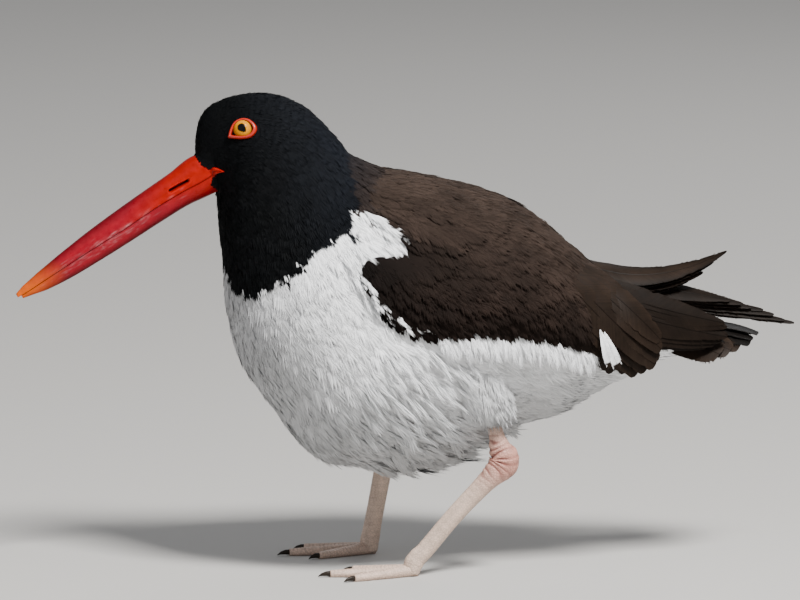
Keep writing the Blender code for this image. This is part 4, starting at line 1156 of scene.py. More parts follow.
def make_thigh_coat(rng):
    """The feathers of both thighs, which run down to the bare legs."""
    parts = []
    for leg in (near_leg_path(), far_leg_path()):
        path = smooth_rows(thigh_path(leg, 2.2), np.linspace(0.25, len(THIGH_ROWS) - 1, 90))
        point = limb_points(path, 110)
        out = unit(point - np.repeat(path[:, :3], 110, axis=0))
        chosen = thin_out(point, 1.9, rng)
        chosen = chosen[outside_body(point[chosen], 1.5)]
        point, out = point[chosen], out[chosen]
        down = unit(path[0, :3] - path[-1, :3])
        lie = unit(down - out * (out @ down)[:, None])
        size = rng.uniform(0.85, 1.2, len(point)) * np.interp(point[:, 2] - leg[1][2], (0.0, 9.0), (0.0035, 0.0098))
        turn = np.arctan2(out[:, 1], out[:, 0]) / 6.3 + 0.5
        shade = np.interp(point[:, 2], (60.0, 80.0), (0.46, 0.7)) * rng.normal(1.0, 0.05, len(point))
        parts.append({
            "point": point - out * 0.2, "out": out, "lie": lie,
            "unwrap": np.stack((0.02 + 0.9 * (leg[0][1] > 0) + 0.07 * turn, turn * 0 + 0.05, turn * 0), axis=-1),
            "tone": np.array(plumage().white) * shade[:, None], "size": np.stack((size, size * 0.9, size), axis=-1),
        })
    roots = {key: np.concatenate([part[key] for part in parts]) for key in parts[0]}
    grow_coat("coat_thighs", "silk", "white", roots, 0.07, 0.05, 0.25)


def make_belly_wisps(rng):
    """Loose long hairs that hang from the belly's bottom and round the top of the near leg."""
    count = 480
    u = rng.uniform(11.5, 13.9, count)
    d = np.abs(rng.normal(162.0, 16.0, count)).clip(118.0, 179.0) * rng.choice((-1.0, 1.0), count)
    roots = body_roots(u, d, rng.uniform(0.010, 0.017, count), 0.7, 1.2, rng)
    leg = near_leg_path()
    hairs = 130
    turn = rng.uniform(0.0, 2 * math.pi, hairs)
    high = rng.uniform(-0.5, 4.5, hairs)
    out = unit(np.stack((np.cos(turn), np.sin(turn), turn * 0), axis=-1))
    point = np.array(leg[1][:3]) + out * (3.4 + 0.25 * high)[:, None] + np.stack((high * 0, high * 0, high), axis=-1)
    size = rng.uniform(0.003, 0.0055, hairs)
    # Painted shade: the hairs round the leg's top are the white darkened to 0.3-0.62.
    cuff = {
        "point": point, "out": out, "lie": unit(out * 0.04 + (0.16, 0.0, -1.0)),
        "unwrap": np.stack((0.02 + 0.07 * turn / 6.3, 0.01 + turn * 0, turn * 0), axis=-1),
        "tone": np.tile(np.array(plumage().white), (hairs, 1)) * rng.uniform(0.3, 0.62, (hairs, 1)),
        "size": np.stack((size, size * 0.24, size), axis=-1),
    }
    roots = {key: np.concatenate((roots[key], cuff[key])) for key in roots}
    grow_coat("coat_wisps", "silk", "white", roots, 0.2, 0.16, 0.4)


def bill_base_roots(rng):
    """Roots of the face's feathers where they run forward over the base of the bill."""
    count = 9000
    _, forward, up = bill_axes()
    along = rng.uniform(-4.5, 8.6, count)
    turn = rng.uniform(0.0, math.pi, count)
    upper = rng.uniform(size=count) < 0.62
    point, height = bill_surface(along, turn, upper)
    edge = np.array(FEATHER_EDGE)
    keep = along < np.interp(height, edge[:, 0], edge[:, 1])
    point, height, along, turn = point[keep], height[keep], along[keep], turn[keep]
    spot = thin_out(point, 0.62, rng)
    point, height, along, turn = point[spot], height[spot], along[spot], turn[spot]
    out = unit(np.array((0.0, 1.0, 0.0)) * (point[:, 1:2] / 6.0) + up * ((height - 3.0) / 9.0)[:, None])
    size = rng.uniform(0.8, 1.1, len(point)) * plumage().face_length * 0.85
    unwrap = np.stack((0.5 + 0.05 * np.sign(point[:, 1]) * (1 - height / 14), along * 0.002, along * 0), axis=-1)
    return {
        "point": point, "out": out, "lie": unit(-forward + up * np.interp(height, (2.0, 4.0), (-0.35, 0.3))[:, None]), "unwrap": unwrap,
        "tone": np.tile(np.array(plumage().black), (len(point), 1)), "size": np.tile(size[:, None], (1, 3)),
    }


def wing_surface(side, along, share, offset):
    """Places on the folded wing and the way out there.

    along runs from 0 at its front to 1 at its rear. share runs from just under 0 at the back line to 1
    at its low edge. offset 0 is the wing's inside, buried in the coat, and 1 its outside.
    """
    front = keyed(WING_FRONT, share)[:, 1]
    rear = keyed(WING_REAR, share)[:, 1]
    positions = front + (rear - front) * along
    rows = keyed(WING_COVER, positions)
    top, low = rows[:, 1], rows[:, 2]
    over_back = top + (top - WING_TOP_DEGREES) * share / WING_TOP_SHARE
    degrees = np.where(share < 0, over_back, top + (low - top) * share)
    start = along * np.interp(share, (0.0, 0.45, 0.7), (1.7, 2.4, 7.0))
    end = np.minimum(start, 5.0 * (1 - along) + 0.4)
    edge = np.minimum(0.5 + 4.0 * (share + WING_TOP_SHARE), 5.0 * (1 - share))
    fade = np.clip(np.minimum(end, edge), 0.0, 1.0) ** np.interp(share, (0.45, 0.7), (0.85, 0.5))
    full = WING_SUNK + WING_LIFT + rows[:, 3] - WING_COAT - WING_RIM
    out = body_axes(positions, degrees)[2]
    height = offset * (WING_RIM + full * fade) - WING_SUNK
    mirror = np.array((1.0, -side, 1.0))
    return (body_surface(positions, degrees) + out * height[:, None]) * mirror, out * mirror, positions, degrees


def wing_tones(along, share, rng=None):
    """Browns of the folded wing: lighter towards the shoulders' top, partly the mantle's paler brown and partly
    painted light from above; darkest low at the front, where shade is painted.
    """
    p = plumage()
    mantle, wing, flight = (np.array(c) for c in (p.mantle, p.wing, p.flight))
    # Lighter towards the top: the mantle's brown, and painted light from above.
    high = np.interp(share, (-0.1, 0.25, 0.55, 0.85), (1.05, 0.95, 0.5, 0.0))[:, None]
    ahead = np.clip(1.0 - along / 0.22, 0.0, 1.0) * np.interp(share, (0.45, 0.6), (1.0, 0.0))
    high = np.maximum(high, ahead[:, None])
    tones = wing + (mantle - wing) * high
    tones = tones + (flight - tones) * (np.clip((along - 0.6) / 0.4, 0.0, 1.0) * 0.5)[:, None]
    # Painted shade: the wing's low part is painted darker, most at its front.
    low_front_shade = np.interp(along, (0.0, 0.35), (0.3, 1.0)) * np.interp(share, (0.6, 1.0), (1.0, 0.55))
    tones = tones * np.where(share > 0.55, low_front_shade, 1.0)[:, None]
    patch = np.sin(along * 17 + 3 * np.sin(share * 7)) * np.sin(share * 15 + 2 * np.sin(along * 9))
    tones = tones * (1 + 0.22 * patch)[:, None]
    if rng is not None:
        tones = tones * rng.normal(1.0, 0.07, len(tones)).clip(0.75, 1.25)[:, None]
    return np.where(white_tip(along, share)[:, None], np.array(p.white), tones)


def downwards(out):
    """The way down along a surface that faces out."""
    down = np.array((0.0, 0.0, -1.0))
    return down - out * (out @ down)[:, None]


def wing_unwrap(along, share):
    return np.stack((0.03 + 0.45 * share, 0.02 + 0.96 * along, along * 0), axis=-1)


def wing_roots(side, along, share, length, width, droop, tone, rng):
    """Everything that the coat's nodes need at places of the folded wing."""
    point, out, _, _ = wing_surface(side, along, share, 1.0)
    ahead = wing_surface(side, np.minimum(along + 0.01, 1.0), share, 1.0)[0]
    back = wing_surface(side, np.minimum(along, 0.99) - 0.01, share, 1.0)[0]
    lie = unit(unit(ahead - back) + downwards(out) * droop[:, None])
    size = length * rng.normal(1.0, 0.12, len(along)).clip(0.7, 1.3)
    return {
        "point": point - out * 0.15, "lie": lie, "out": out, "unwrap": wing_unwrap(along, share), "tone": tone,
        "size": np.stack((size, size * width, size), axis=-1),
    }


def make_wing_cover(side, word):
    """The folded wing's closed skin on the body's side."""
    rows, columns = WING_GRID
    grid = np.meshgrid(np.linspace(0, 1, rows), np.linspace(-WING_TOP_SHARE, 1, columns), indexing="ij")
    a, s = (g.ravel() for g in grid)
    points = np.concatenate((wing_surface(side, a, s, 0.0)[0], wing_surface(side, a, s, 1.0)[0]))
    size = rows * columns
    faces = []
    for row in range(rows - 1):
        for column in range(columns - 1):
            q = row * columns + column
            quad = (q, q + 1, q + columns + 1, q + columns)
            faces += [quad[::-1], tuple(size + v for v in quad)]
    rim = list(range(columns)) + [r * columns + columns - 1 for r in range(1, rows)]
    rim += [(rows - 1) * columns + c for c in range(columns - 2, -1, -1)]
    rim += [r * columns for r in range(rows - 2, 0, -1)]
    faces += [(m, n, size + n, size + m) for m, n in zip(rim, rim[1:] + rim[:1])]
    mesh = solid_mesh("wing_skin_" + word, points, faces)
    store_tones(mesh, np.tile(wing_tones(a, s), (2, 1)))
    flat = wing_unwrap(a, s)[:, :2]
    unwrap = np.concatenate((flat + (0.48, 0.0), flat))
    corners = np.empty(len(mesh.loops), int)
    mesh.loops.foreach_get("vertex_index", corners)
    attribute(mesh, "OFBake", "FLOAT2", "CORNER", "vector", unwrap[corners])
    shell = add_piece("wing_skin_" + word, mesh, finish("skin"))
    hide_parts("wing_" + word)


def white_tip(along, share):
    """True where the shoulder's white patch runs to a point over the wing's front."""
    return along < 0.02 - 0.9 * np.abs(share - 0.57)


def make_coverts(side, word):
    """The small feathers of the folded wing, larger and drooping more towards its low edge."""
    p = plumage()
    rng = np.random.default_rng(p.seed + 20 + side)
    count = 30000
    a, s = rng.uniform(-0.035, 1.0, count), rng.uniform(-WING_TOP_SHARE, 1.0, count)
    brown = ~white_tip(a, s) & (a > np.interp(s, (0.45, 0.6), (-0.035, 0.012)))
    a, s = a[brown], s[brown]
    spot = wing_surface(side, a, s, 1.0)[0]
    shoulder = (a < 0.16) & (s < 0.5)
    even = thin_out(spot, 2.75, rng)
    close = thin_out(spot, 1.75, rng)
    chosen = np.concatenate((even[~shoulder[even]], close[shoulder[close]]))
    a, s = a[chosen], s[chosen]
    droop = np.interp(s, (0.0, 0.3, 0.7, 1.0), (0.02, 0.3, 0.95, 1.4)) * np.interp(a, (0.5, 1.0), (1.0, 0.55))
    base = np.interp(a, (0.0, 0.12, 0.6, 1.0), (0.55, 0.8, 1.0, 1.15)) * np.interp(s, (0.85, 1.0), (1.0, 0.75))
    roots = wing_roots(side, a, s, p.covert_length * base, 0.95, droop, wing_tones(a, s, rng), rng)
    grow_coat("coverts_" + word, "firm", "brown", roots, 0.045, 0.03, 0.2)


def make_fringe(side, word):
    """White feathers over the wing's front rim, and the long white hairs that hang below its low edge."""
    p = plumage()
    rng = np.random.default_rng(p.seed + 30 + side)
    s = rng.uniform(0.52, 1.0, 1500)
    a = rng.uniform(-0.1, -0.02, 1500) + np.clip(s - 0.9, 0, 1) * rng.uniform(0.0, 2.4, 1500)
    tip_s, tip_a = rng.uniform(0.52, 0.68, 1500), rng.uniform(-0.05, 0.05, 1500)
    inside = white_tip(tip_a, tip_s)
    a, s = np.concatenate((a, tip_a[inside])), np.concatenate((s, tip_s[inside]))
    chosen = thin_out(wing_surface(side, a, s, 1.0)[0], 1.45, rng)
    a, s = a[chosen], s[chosen]
    count = len(a)
    white = np.tile(np.array(p.white), (count, 1)) * rng.normal(0.97, 0.05, count).clip(0.8, 1.05)[:, None]
    droop = np.interp(s, (0.55, 0.75, 1.0), (0.4, 0.6, 0.4))
    size = rng.uniform(0.0075, 0.0115, count) * np.interp(a, (-0.05, 0.0), (1.0, 0.75))
    rim = wing_roots(side, a, s, size, 0.5, droop, white, rng)
    hanging, loose = 420, 120
    count = hanging + loose
    a = rng.uniform(0.24, 0.95, count)
    _, _, positions, degrees = wing_surface(side, a, np.ones(count), 0.0)
    degrees = degrees + rng.uniform(-1.5, 2.5, count)
    positions[hanging:] = rng.uniform(11.0, 12.9, loose)
    degrees[hanging:] = rng.uniform(90.0, 136.0, loose)
    mirror = np.array((1.0, -side, 1.0))
    out = body_axes(positions, degrees)[2] * mirror
    high = rng.uniform(0.0, 0.9, count) - np.where(np.arange(count) >= hanging, 1.3, 0.0)
    lean = rng.uniform(0.15, 0.5, count) + np.where(np.arange(count) >= hanging, 0.9, 0.0)
    point = body_surface(positions, degrees) * mirror + out * high[:, None]
    along = body_axes(positions, degrees)[0] * mirror
    size = rng.uniform(0.009, 0.015, count) * np.interp(a, (0.24, 0.4, 0.9, 0.95), (0.7, 1.0, 1.0, 0.8))
    size[hanging:] = rng.uniform(0.011, 0.016, loose)
    tone = np.tile(np.array(p.white), (count, 1)) * rng.normal(0.98, 0.05, (count, 1)).clip(0.8, 1.05)
    # Painted shade: the loose hairs are painted darker the lower they sit on the flank.
    tone[hanging:] *= np.interp(degrees[hanging:], (90.0, 136.0), (0.92, 0.58))[:, None]
    unwrap = np.zeros((count, 3))
    unwrap[:, :2] = body_unwrap(positions, -side * degrees)
    hang = {
        "point": point, "out": out, "lie": unit(downwards(out) + along * lean[:, None]),
        "unwrap": unwrap, "tone": tone,
        "size": np.stack((size, size * 0.34, size), axis=-1),
    }
    roots = {key: np.concatenate((rim[key], hang[key])) for key in rim}
    grow_coat("coat_fringe_" + word, "silk", "white", roots, 0.12, 0.1, 0.3)


def curve_points(path, t):
    """Points on the quadratic curve through three control points."""
    a, b, c = (np.array(p, float) for p in path)
    t = t[:, None]
    return a * (1 - t) ** 2 + b * 2 * t * (1 - t) + c * t * t


def long_feather(store, path, half_width, out, tip, taper, paint, rng, slits=5, shaft=0.6, root=0.45):
    """One long feather: a thin cambered vane with a shaft, ragged barbs along both its edges."""
    steps, across = 30, np.array((-1.0, -0.72, -0.4, -0.06, 0.06, 0.4, 0.72, 1.0))
    t = 1 - (1 - np.linspace(0, 1, steps + 1)) ** 1.25
    centre = curve_points(path, t)
    along = unit(curve_points(path, np.minimum(t + 0.01, 1)) - curve_points(path, np.maximum(t - 0.01, 0)))
    side = unit(np.cross(unit(np.array(out, float)), along))
    up = np.cross(along, side)
    wide = half_width * np.minimum(1.0, root + (root * 3.5 + 0.6) * t) * (1 - (1 - tip) * t ** taper)
    wide[-1] *= 0.55
    edges = np.ones((steps + 1, 2)) + rng.normal(0, 0.015, (steps + 1, 2))
    for _ in range(slits):
        edges[rng.integers(steps // 3, steps), rng.integers(0, 2)] -= rng.uniform(0.05, 0.16)
    camber = 0.13
    grids = []
    for thick in (1, -1):
        rows = []
        for k, y in enumerate(across):
            edge = edges[:, 0] if y < 0 else edges[:, 1]
            slope = 1.0 - abs(y)
            height = thick * (0.1 + 0.22 * slope * (1 - t)) - camber * wide * y * y
            rows.append(centre + side * (wide * edge * y)[:, None] + up * height[:, None])
        grids.append(np.stack(rows, axis=1))
    first = len(store["points"])
    count = len(across)
    store["points"] += [*grids[0].reshape(-1, 3), *grids[1].reshape(-1, 3)]
    length = float(np.linalg.norm(np.diff(centre, axis=0), axis=1).sum())
    number = store["number"]
    store["number"] += 1
    leaf, tone, unwrap = [], [], []
    for layer in (0, 1):
        for i in range(steps + 1):
            for y in across:
                leaf.append((t[i] * length, abs(y) * wide[i], number * 3.7 + (7.0 if y > 0 else 0.0)))
                tone.append(paint(t[i], y, layer))
                unwrap.append(((number % 8 + 0.1 + 0.35 * layer + 0.17 * (y + 1)) / 8, (number // 8 + 0.05 + 0.9 * t[i]) / 4))
    store["leaf"] += leaf
    store["tone"] += tone
    store["unwrap"] += unwrap
    size = (steps + 1) * count
    for i in range(steps):
        for k in range(count - 1):
            q = first + i * count + k
            quad = (q, q + 1, q + count + 1, q + count)
            store["faces"] += [quad[::-1], tuple(v + size for v in quad)]
    rim = list(range(count)) + [i * count + count - 1 for i in range(1, steps + 1)]
    rim += [steps * count + k for k in range(count - 2, -1, -1)] + [i * count for i in range(steps - 1, 0, -1)]
    store["faces"] += [(first + m, first + n, first + size + n, first + size + m) for m, n in zip(rim, rim[1:] + rim[:1])]
    ring = []
    for i in range(0, steps + 1, 2):
        radius = 0.42 * (1 - 0.75 * t[i])
        for k in range(5):
            turn = 2 * math.pi * k / 5
            ring.append(centre[i] + side[i] * radius * math.cos(turn) + up[i] * (0.12 + radius * math.sin(turn)))
            store["leaf"].append((t[i] * length, 0.0, number * 3.7))
            store["tone"].append(np.array(paint(t[i], 0.0, 0)) * shaft)
            store["unwrap"].append(((number % 8 + 0.9) / 8, (number // 8 + 0.05 + 0.9 * t[i]) / 4))
    store["faces"] += tube_faces(len(ring) // 5, 5, len(store["points"]))
    store["points"] += ring
    for k in range(44):
        at = rng.uniform(0.3, 0.93)
        i = min(int(at * steps), steps - 1)
        way = -1 if k % 2 else 1
        rim_edge = edges[i, 0] if way < 0 else edges[i, 1]
        root = centre[i] + side[i] * way * wide[i] * rim_edge * 0.8 - up[i] * camber * wide[i] * 0.6
        reach = rng.uniform(1.4, 2.6) * (1.3 - 0.7 * at)
        end = root + along[i] * reach + side[i] * way * (0.22 * wide[i] + 0.25) - up[i] * camber * wide[i] * 0.4
        tool = unit(np.cross(up[i], end - root)) * 0.16
        middle = (root + end) / 2
        base = len(store["points"])
        store["points"] += [root, middle - tool, middle + tool, middle + up[i] * 0.14, end]
        for share in (0.7, 0.85, 0.85, 0.85, 1.0):
            store["leaf"].append((at * length, share * wide[i], number * 3.7))
            store["tone"].append(np.array(paint(at, way * share, 0)) * rng.uniform(0.85, 1.15))
            spot = (number % 8 + 0.1 + 0.17 * (way * share + 1)) / 8
            store["unwrap"].append((spot, (number // 8 + 0.05 + 0.9 * at) / 4))
        for face in ((0, 3, 1), (1, 3, 4), (4, 3, 2), (2, 3, 0), (0, 1, 2), (1, 4, 2)):
            store["faces"].append(tuple(base + v for v in face))


def new_store():
    return {"points": [], "faces": [], "leaf": [], "tone": [], "unwrap": [], "number": 0}


def add_feathers(name, store):
    """Turns stored long feathers into a piece."""
    mesh = solid_mesh(name, np.array(store["points"]), store["faces"])
    store_tones(mesh, np.clip(np.array(store["tone"]), 0, 1))
    attribute(mesh, "leaf", "FLOAT_VECTOR", "POINT", "vector", np.array(store["leaf"]))
    corners = np.empty(len(mesh.loops), int)
    mesh.loops.foreach_get("vertex_index", corners)
    attribute(mesh, "OFBake", "FLOAT2", "CORNER", "vector", np.array(store["unwrap"])[corners])
    mesh.shade_smooth()
    mesh.set_sharp_from_angle(angle=math.radians(50))
    return add_piece(name, mesh, finish("flight"), smooth=False)


def painter(colour, edge=1.0, tip=1.0):
    """Colours a long feather: a darker middle, and an edge and tip that may be paler."""
    colour = np.array(colour)

    def paint(t, y, layer):
        rim = abs(y) ** 3
        end = max(0.0, (t - 0.8) / 0.2)
        return colour * (0.85 + 0.15 * abs(y)) * (1 + (edge - 1) * rim) * (1 + (tip - 1) * end)

    return paint


def root_on_skin(side, position, degrees):
    """Where a long feather starts in the wing's cover."""
    u, d = np.array((float(position),)), np.array((float(degrees),))
    point = body_surface(u, d)[0] + body_axes(u, d)[2][0] * VANE_ROOT_HEIGHT
    return point * (1.0, -side, 1.0)


def fan(store, side, rows, count, tip, taper, paint, rng, step):
    """Long feathers read from a few rows, each lying a little over the one below it."""
    for k in range(count):
        row = smooth_rows(rows, k * (len(rows) - 1) / (count - 1))[0]
        out = unit(row[9:12])
        lift = out * step * (k - (count - 1) / 2)
        wobble = rng.uniform(-0.8, 0.8, 3)
        path = (root_on_skin(side, row[0], row[1]), row[2:5] + lift, row[5:8] + lift + wobble)
        long_feather(store, path, row[8] * rng.uniform(0.95, 1.06), out, tip, taper, paint, rng)


def make_flight():
    """The long feathers of both wings, tier by tier."""
    p = plumage()
    rng = np.random.default_rng(p.seed + 40)
    brown = painter(p.flight, 1.25, 1.1)
    taupe = painter(np.array(p.flight) * 1.35, 0.35, 0.45)
    dusky = painter(np.array(p.flight) * 0.6, 1.15, 1.0)
    pale = np.array(p.white)

    def white_web(t, y, layer):
        return np.array(p.flight) * 1.2 if t > 0.86 else pale * (0.9 + 0.1 * abs(y))

    store = new_store()
    fan(store, -1, NEAR_PRIMARIES, 7, 0.12, 3.4, dusky, rng, 0.4)
    for root, bend, tip in WHITE_WEBS:
        facing = (0.15, -1.0, 0.3)
        long_feather(store, (root, bend, tip), 5.0, facing, 0.3, 3.0, white_web, rng, shaft=1.0, root=0.04)
    fan(store, -1, NEAR_TERTIALS, 8, 0.4, 5.0, brown, rng, 0.8)
    piece = add_feathers("flight_left", store)
    store = new_store()
    fan(store, 1, FAR_PRIMARIES, 7, 0.12, 2.4, dusky, rng, 0.3)
    fan(store, 1, FAR_TERTIALS, 6, 0.08, 3.0, taupe, rng, 0.3)
    add_feathers("flight_right", store)
    return piece


def make_tail():
    """The tail: twelve feathers in a low arched fan, the middle ones on top."""
    p = plumage()
    rng = np.random.default_rng(p.seed + 60)
    store = new_store()
    paint = painter(p.tail, 1.25, 1.1)
    for k in range(TAIL_COUNT):
        place = 2 * k / (TAIL_COUNT - 1) - 1
        far = abs(place)
        stack = 1.1 * TAIL_COUNT / 2 * (0.5 - far)
        root = np.array((TAIL_ROOT[0], TAIL_ROOT[1] * place, TAIL_ROOT[2]))
        tip = np.array((TAIL_TIP[0] - TAIL_SHORTER * far ** 1.6, TAIL_TIP[1] * place, TAIL_TIP[2] - TAIL_DROP * far))
        tip += (rng.uniform(-1.0, 1.0), 0.0, stack * 0.5)
        bend = (root + tip) / 2 + (0.0, 0.0, TAIL_RISE * (1 - 0.6 * far) + stack * 0.4)
        web = painter(np.array(p.flight) * 0.9, 1.5, 1.3) if place < -0.55 else paint
        facing = (0.0, 1.5 * place * far, 1.0)
        long_feather(store, (root, bend, tip), TAIL_HALF_WIDTH, facing, 0.45, 6.0, web, rng)
    piece = add_feathers("tail_feathers", store)
    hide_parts("tail")
    rows, sides = 16, 48
    last = np.full(sides, BODY_LAST)
    ring = body_surface(last, np.linspace(-180, 180, sides, endpoint=False))
    centre = (body_surface(last[:1], np.zeros(1))[0] + body_surface(last[:1], np.full(1, 180.0))[0]) / 2
    top_x, top_z, low_x, low_z = BODY_SECTIONS[-1][:4]
    way = unit(np.array((top_z - low_z, 0.0, low_x - top_x)))
    points = []
    for share in np.linspace(-0.1, 1.0, rows):
        thin = 1 - TAIL_CORE_THIN * max(share, 0) ** 1.3
        shrink = np.array((thin, 1 - 0.1 * share, thin)) * 0.93
        points.append(centre + (ring - centre) * shrink + way * TAIL_CORE_LENGTH * share)
    points = np.concatenate(points)
    mesh = solid_mesh("tail_base", points, tube_faces(rows, sides))
    store_tones(mesh, np.tile(np.array(p.white), (len(points), 1)))
    add_piece("tail_base", mesh, finish("skin"))
    count = 460
    turn = rng.uniform(0, 2 * math.pi, count)
    share = rng.uniform(0.0, 1.0, count) * np.interp(np.cos(turn), (-0.3, 0.1), (0.8, 0.3)) - 0.2
    thin = 1 - TAIL_CORE_THIN * np.maximum(share, 0.0) ** 1.3
    half = (BODY_SECTIONS[-1][1] - BODY_SECTIONS[-1][3]) / 2
    wide = BODY_SECTIONS[-1][4]
    up = np.array((way[2] * -1, 0.0, way[0]))
    point = (
        centre
        + up * (half * thin * np.cos(turn) * 0.93)[:, None]
        + np.array((0.0, 1.0, 0.0)) * (wide * (1 - 0.1 * share) * np.sin(turn) * 0.93)[:, None]
        + way * (TAIL_CORE_LENGTH * share)[:, None]
    )
    out = unit(up * np.cos(turn)[:, None] * wide + np.array((0.0, 1.0, 0.0)) * np.sin(turn)[:, None] * half)
    size = rng.uniform(0.007, 0.009, count)
    unwrap = np.stack((turn / 6.4, share, share * 0), axis=-1)
    roots = {
        "point": point, "out": out, "lie": unit(way + out * 0.02), "unwrap": unwrap,
        "tone": np.tile(np.array(p.white), (count, 1)) * rng.normal(0.95, 0.05, count)[:, None].clip(0.8, 1.05),
        "size": np.stack((size, size, size), axis=-1),
    }
    grow_coat("coat_undertail", "silk", "white", roots, 0.1, 0.1, 0.25)


def bill_surface(along, turn, upper):
    """Places on a mandible's outside, at distances from the root and angles from edge to edge."""
    root, forward, up = bill_axes()
    table = keyed(BILL_SECTIONS, along)
    edge = table[:, 2] + np.where(upper, 0.1, -0.1)
    crest = np.where(upper, table[:, 1], table[:, 3])
    rise = power(np.maximum(np.sin(turn), 0.0), 2.1)
    height = edge + (crest - edge) * rise
    y = table[:, 4] * power(np.cos(turn), 2.3)
    point = root + forward * along[:, None] + up * height[:, None] + np.array((0.0, 1.0, 0.0)) * y[:, None]
    return point, height


def bill_tones(along, height, rise, upper, rng):
    """Orange-red base, rose middle with dark edges and pale scratches, yellow-orange tip."""
    b = bare()
    base, middle, tip = (np.array(c) for c in (b.bill_base, b.bill_middle, b.bill_tip))
    far = along / BILL_SECTIONS[-1][0]
    start = 0.3 if upper else 0.12
    rosy = np.clip((far + 0.12 * rise - start) / 0.22, 0, 1)[:, None]
    tones = base + (middle - base) * rosy
    tones = tones * (1 - 0.6 * (0.35 + 0.65 * rosy) * np.clip((rise - 0.5) / 0.5, 0, 1)[:, None])
    tones = tones + (tip - tones) * (np.clip((far - 0.74 - 0.05 * rise) / 0.2, 0, 1) ** 1.2)[:, None]
    mouth = keyed(BILL_SECTIONS, along)[:, 2]
    scratch = np.zeros(len(along))
    for _ in range(110):
        at, off = rng.normal(54, 13), rng.normal(0.5, 0.7) if upper else rng.normal(-1.4, 0.8)
        long, thin = rng.uniform(0.3, 1.8), rng.uniform(0.1, 0.2)
        scratch += np.exp(-((along - at) / long) ** 2 - ((height - mouth - off) / thin) ** 2) * rng.uniform(0.2, 0.7)
    tones = tones + (np.array((0.66, 0.40, 0.42)) - tones) * np.clip(scratch * 0.24, 0, 0.34)[:, None]
    return tones * (1 - 0.35 * np.exp(-((height - mouth) / 0.35) ** 2))[:, None]


def make_bill():
    """Both mandibles with the mouth line between them, the nostrils and the worn yellow tip."""
    rows, sides = 170, 49
    rng = np.random.default_rng(11)
    for name, upper in (("bill_top", True), ("bill_under", False)):
        start, end = BILL_SECTIONS[0][0], BILL_SECTIONS[-1][0] - (0.0 if upper else 1.6)
        row_along = start + (end - start) * (1 - (1 - np.linspace(0, 1, rows)) ** 1.2)
        along = np.repeat(row_along, sides)
        turn = np.tile(np.linspace(0, math.pi, sides), rows)
        points, height = bill_surface(along, turn, np.full(len(along), upper))
        rise = np.maximum(np.sin(turn), 0.0)
        tones = bill_tones(along, height, rise, upper, rng)
        last = along == along[-1]
        points[last, 1] *= 0.4
        if upper:
            off = np.hypot(np.maximum(np.abs(along - NOSTRIL_FROM_ROOT) - NOSTRIL_SIZE[0] / 2, 0), height - NOSTRIL_HEIGHT)
            slit = np.clip((NOSTRIL_SIZE[1] / 2 + 0.12 - off) / 0.3, 0, 1)
            lip = np.exp(-((off - NOSTRIL_SIZE[1] / 2 - 0.45) / 0.3) ** 2)
            groove = np.exp(-(((along - 27) / 15) ** 2 + ((height - 5.4) / 1.6) ** 2))
            sunk = slit * 1.5 - lip * 0.12 + groove * 0.45
            points[:, 1] = np.sign(points[:, 1]) * np.maximum(np.abs(points[:, 1]) - sunk, 0.0)
            # Painted shade in the sunk nostril slit, and a painted highlight on its raised rim.
            tones = tones * (1 - 0.97 * slit)[:, None] * (1 + 0.35 * lip * (1 - slit))[:, None]
        mesh = solid_mesh(name, points, tube_faces(rows, sides))
        store_tones(mesh, np.clip(tones, 0, 1))
        mesh.shade_smooth()
        mesh.set_sharp_from_angle(angle=math.radians(60))
        piece = add_piece(name, mesh, finish("bill"), smooth=False)
        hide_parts("bill_upper" if upper else "bill_lower")
    make_gape()


def make_gape():
    """The bare wedge of skin behind each corner of the mouth, with the mouth line in its middle."""
    rows, sides = 44, 36
    positions = np.repeat(np.linspace(0.02, GAPE[-1][0], rows), sides)
    turn = np.tile(2 * np.pi * np.arange(sides) / sides, rows)
    table = keyed(GAPE, positions)
    across, high = np.cos(turn), np.sin(turn)
    degrees = table[:, 1] + table[:, 2] * across
    groove = np.exp(-(across / 0.16) ** 2) * (high > 0)
    fade = np.clip((GAPE[-1][0] - positions) / 0.8, 0.25, 1.0)
    offset = np.where(high > 0, 0.2 + 0.6 * fade * np.maximum(high, 0) ** 0.5 * (1 - 0.45 * groove), 1.4 * high)
    tone = np.array(bare().bill_base) * (1 - 0.5 * groove)[:, None]
    for side, word in ((-1, "left"), (1, "right")):
        mirror = np.array((1.0, -side, 1.0))
        out = body_axes(np.maximum(positions, 0.1), degrees)[2]
        points = (body_surface(positions, degrees) + out * offset[:, None]) * mirror
        mesh = solid_mesh("gape_" + word, points, tube_faces(rows, sides))
        store_tones(mesh, tone)
        add_piece("gape_" + word, mesh, finish("bill"))


def closed_curve(table, count):
    """A smooth closed curve through a few points, sharp at the first of them."""
    table = list(table) + [table[0]]
    return smooth_rows(table, np.linspace(0, len(table) - 1, count, endpoint=False))


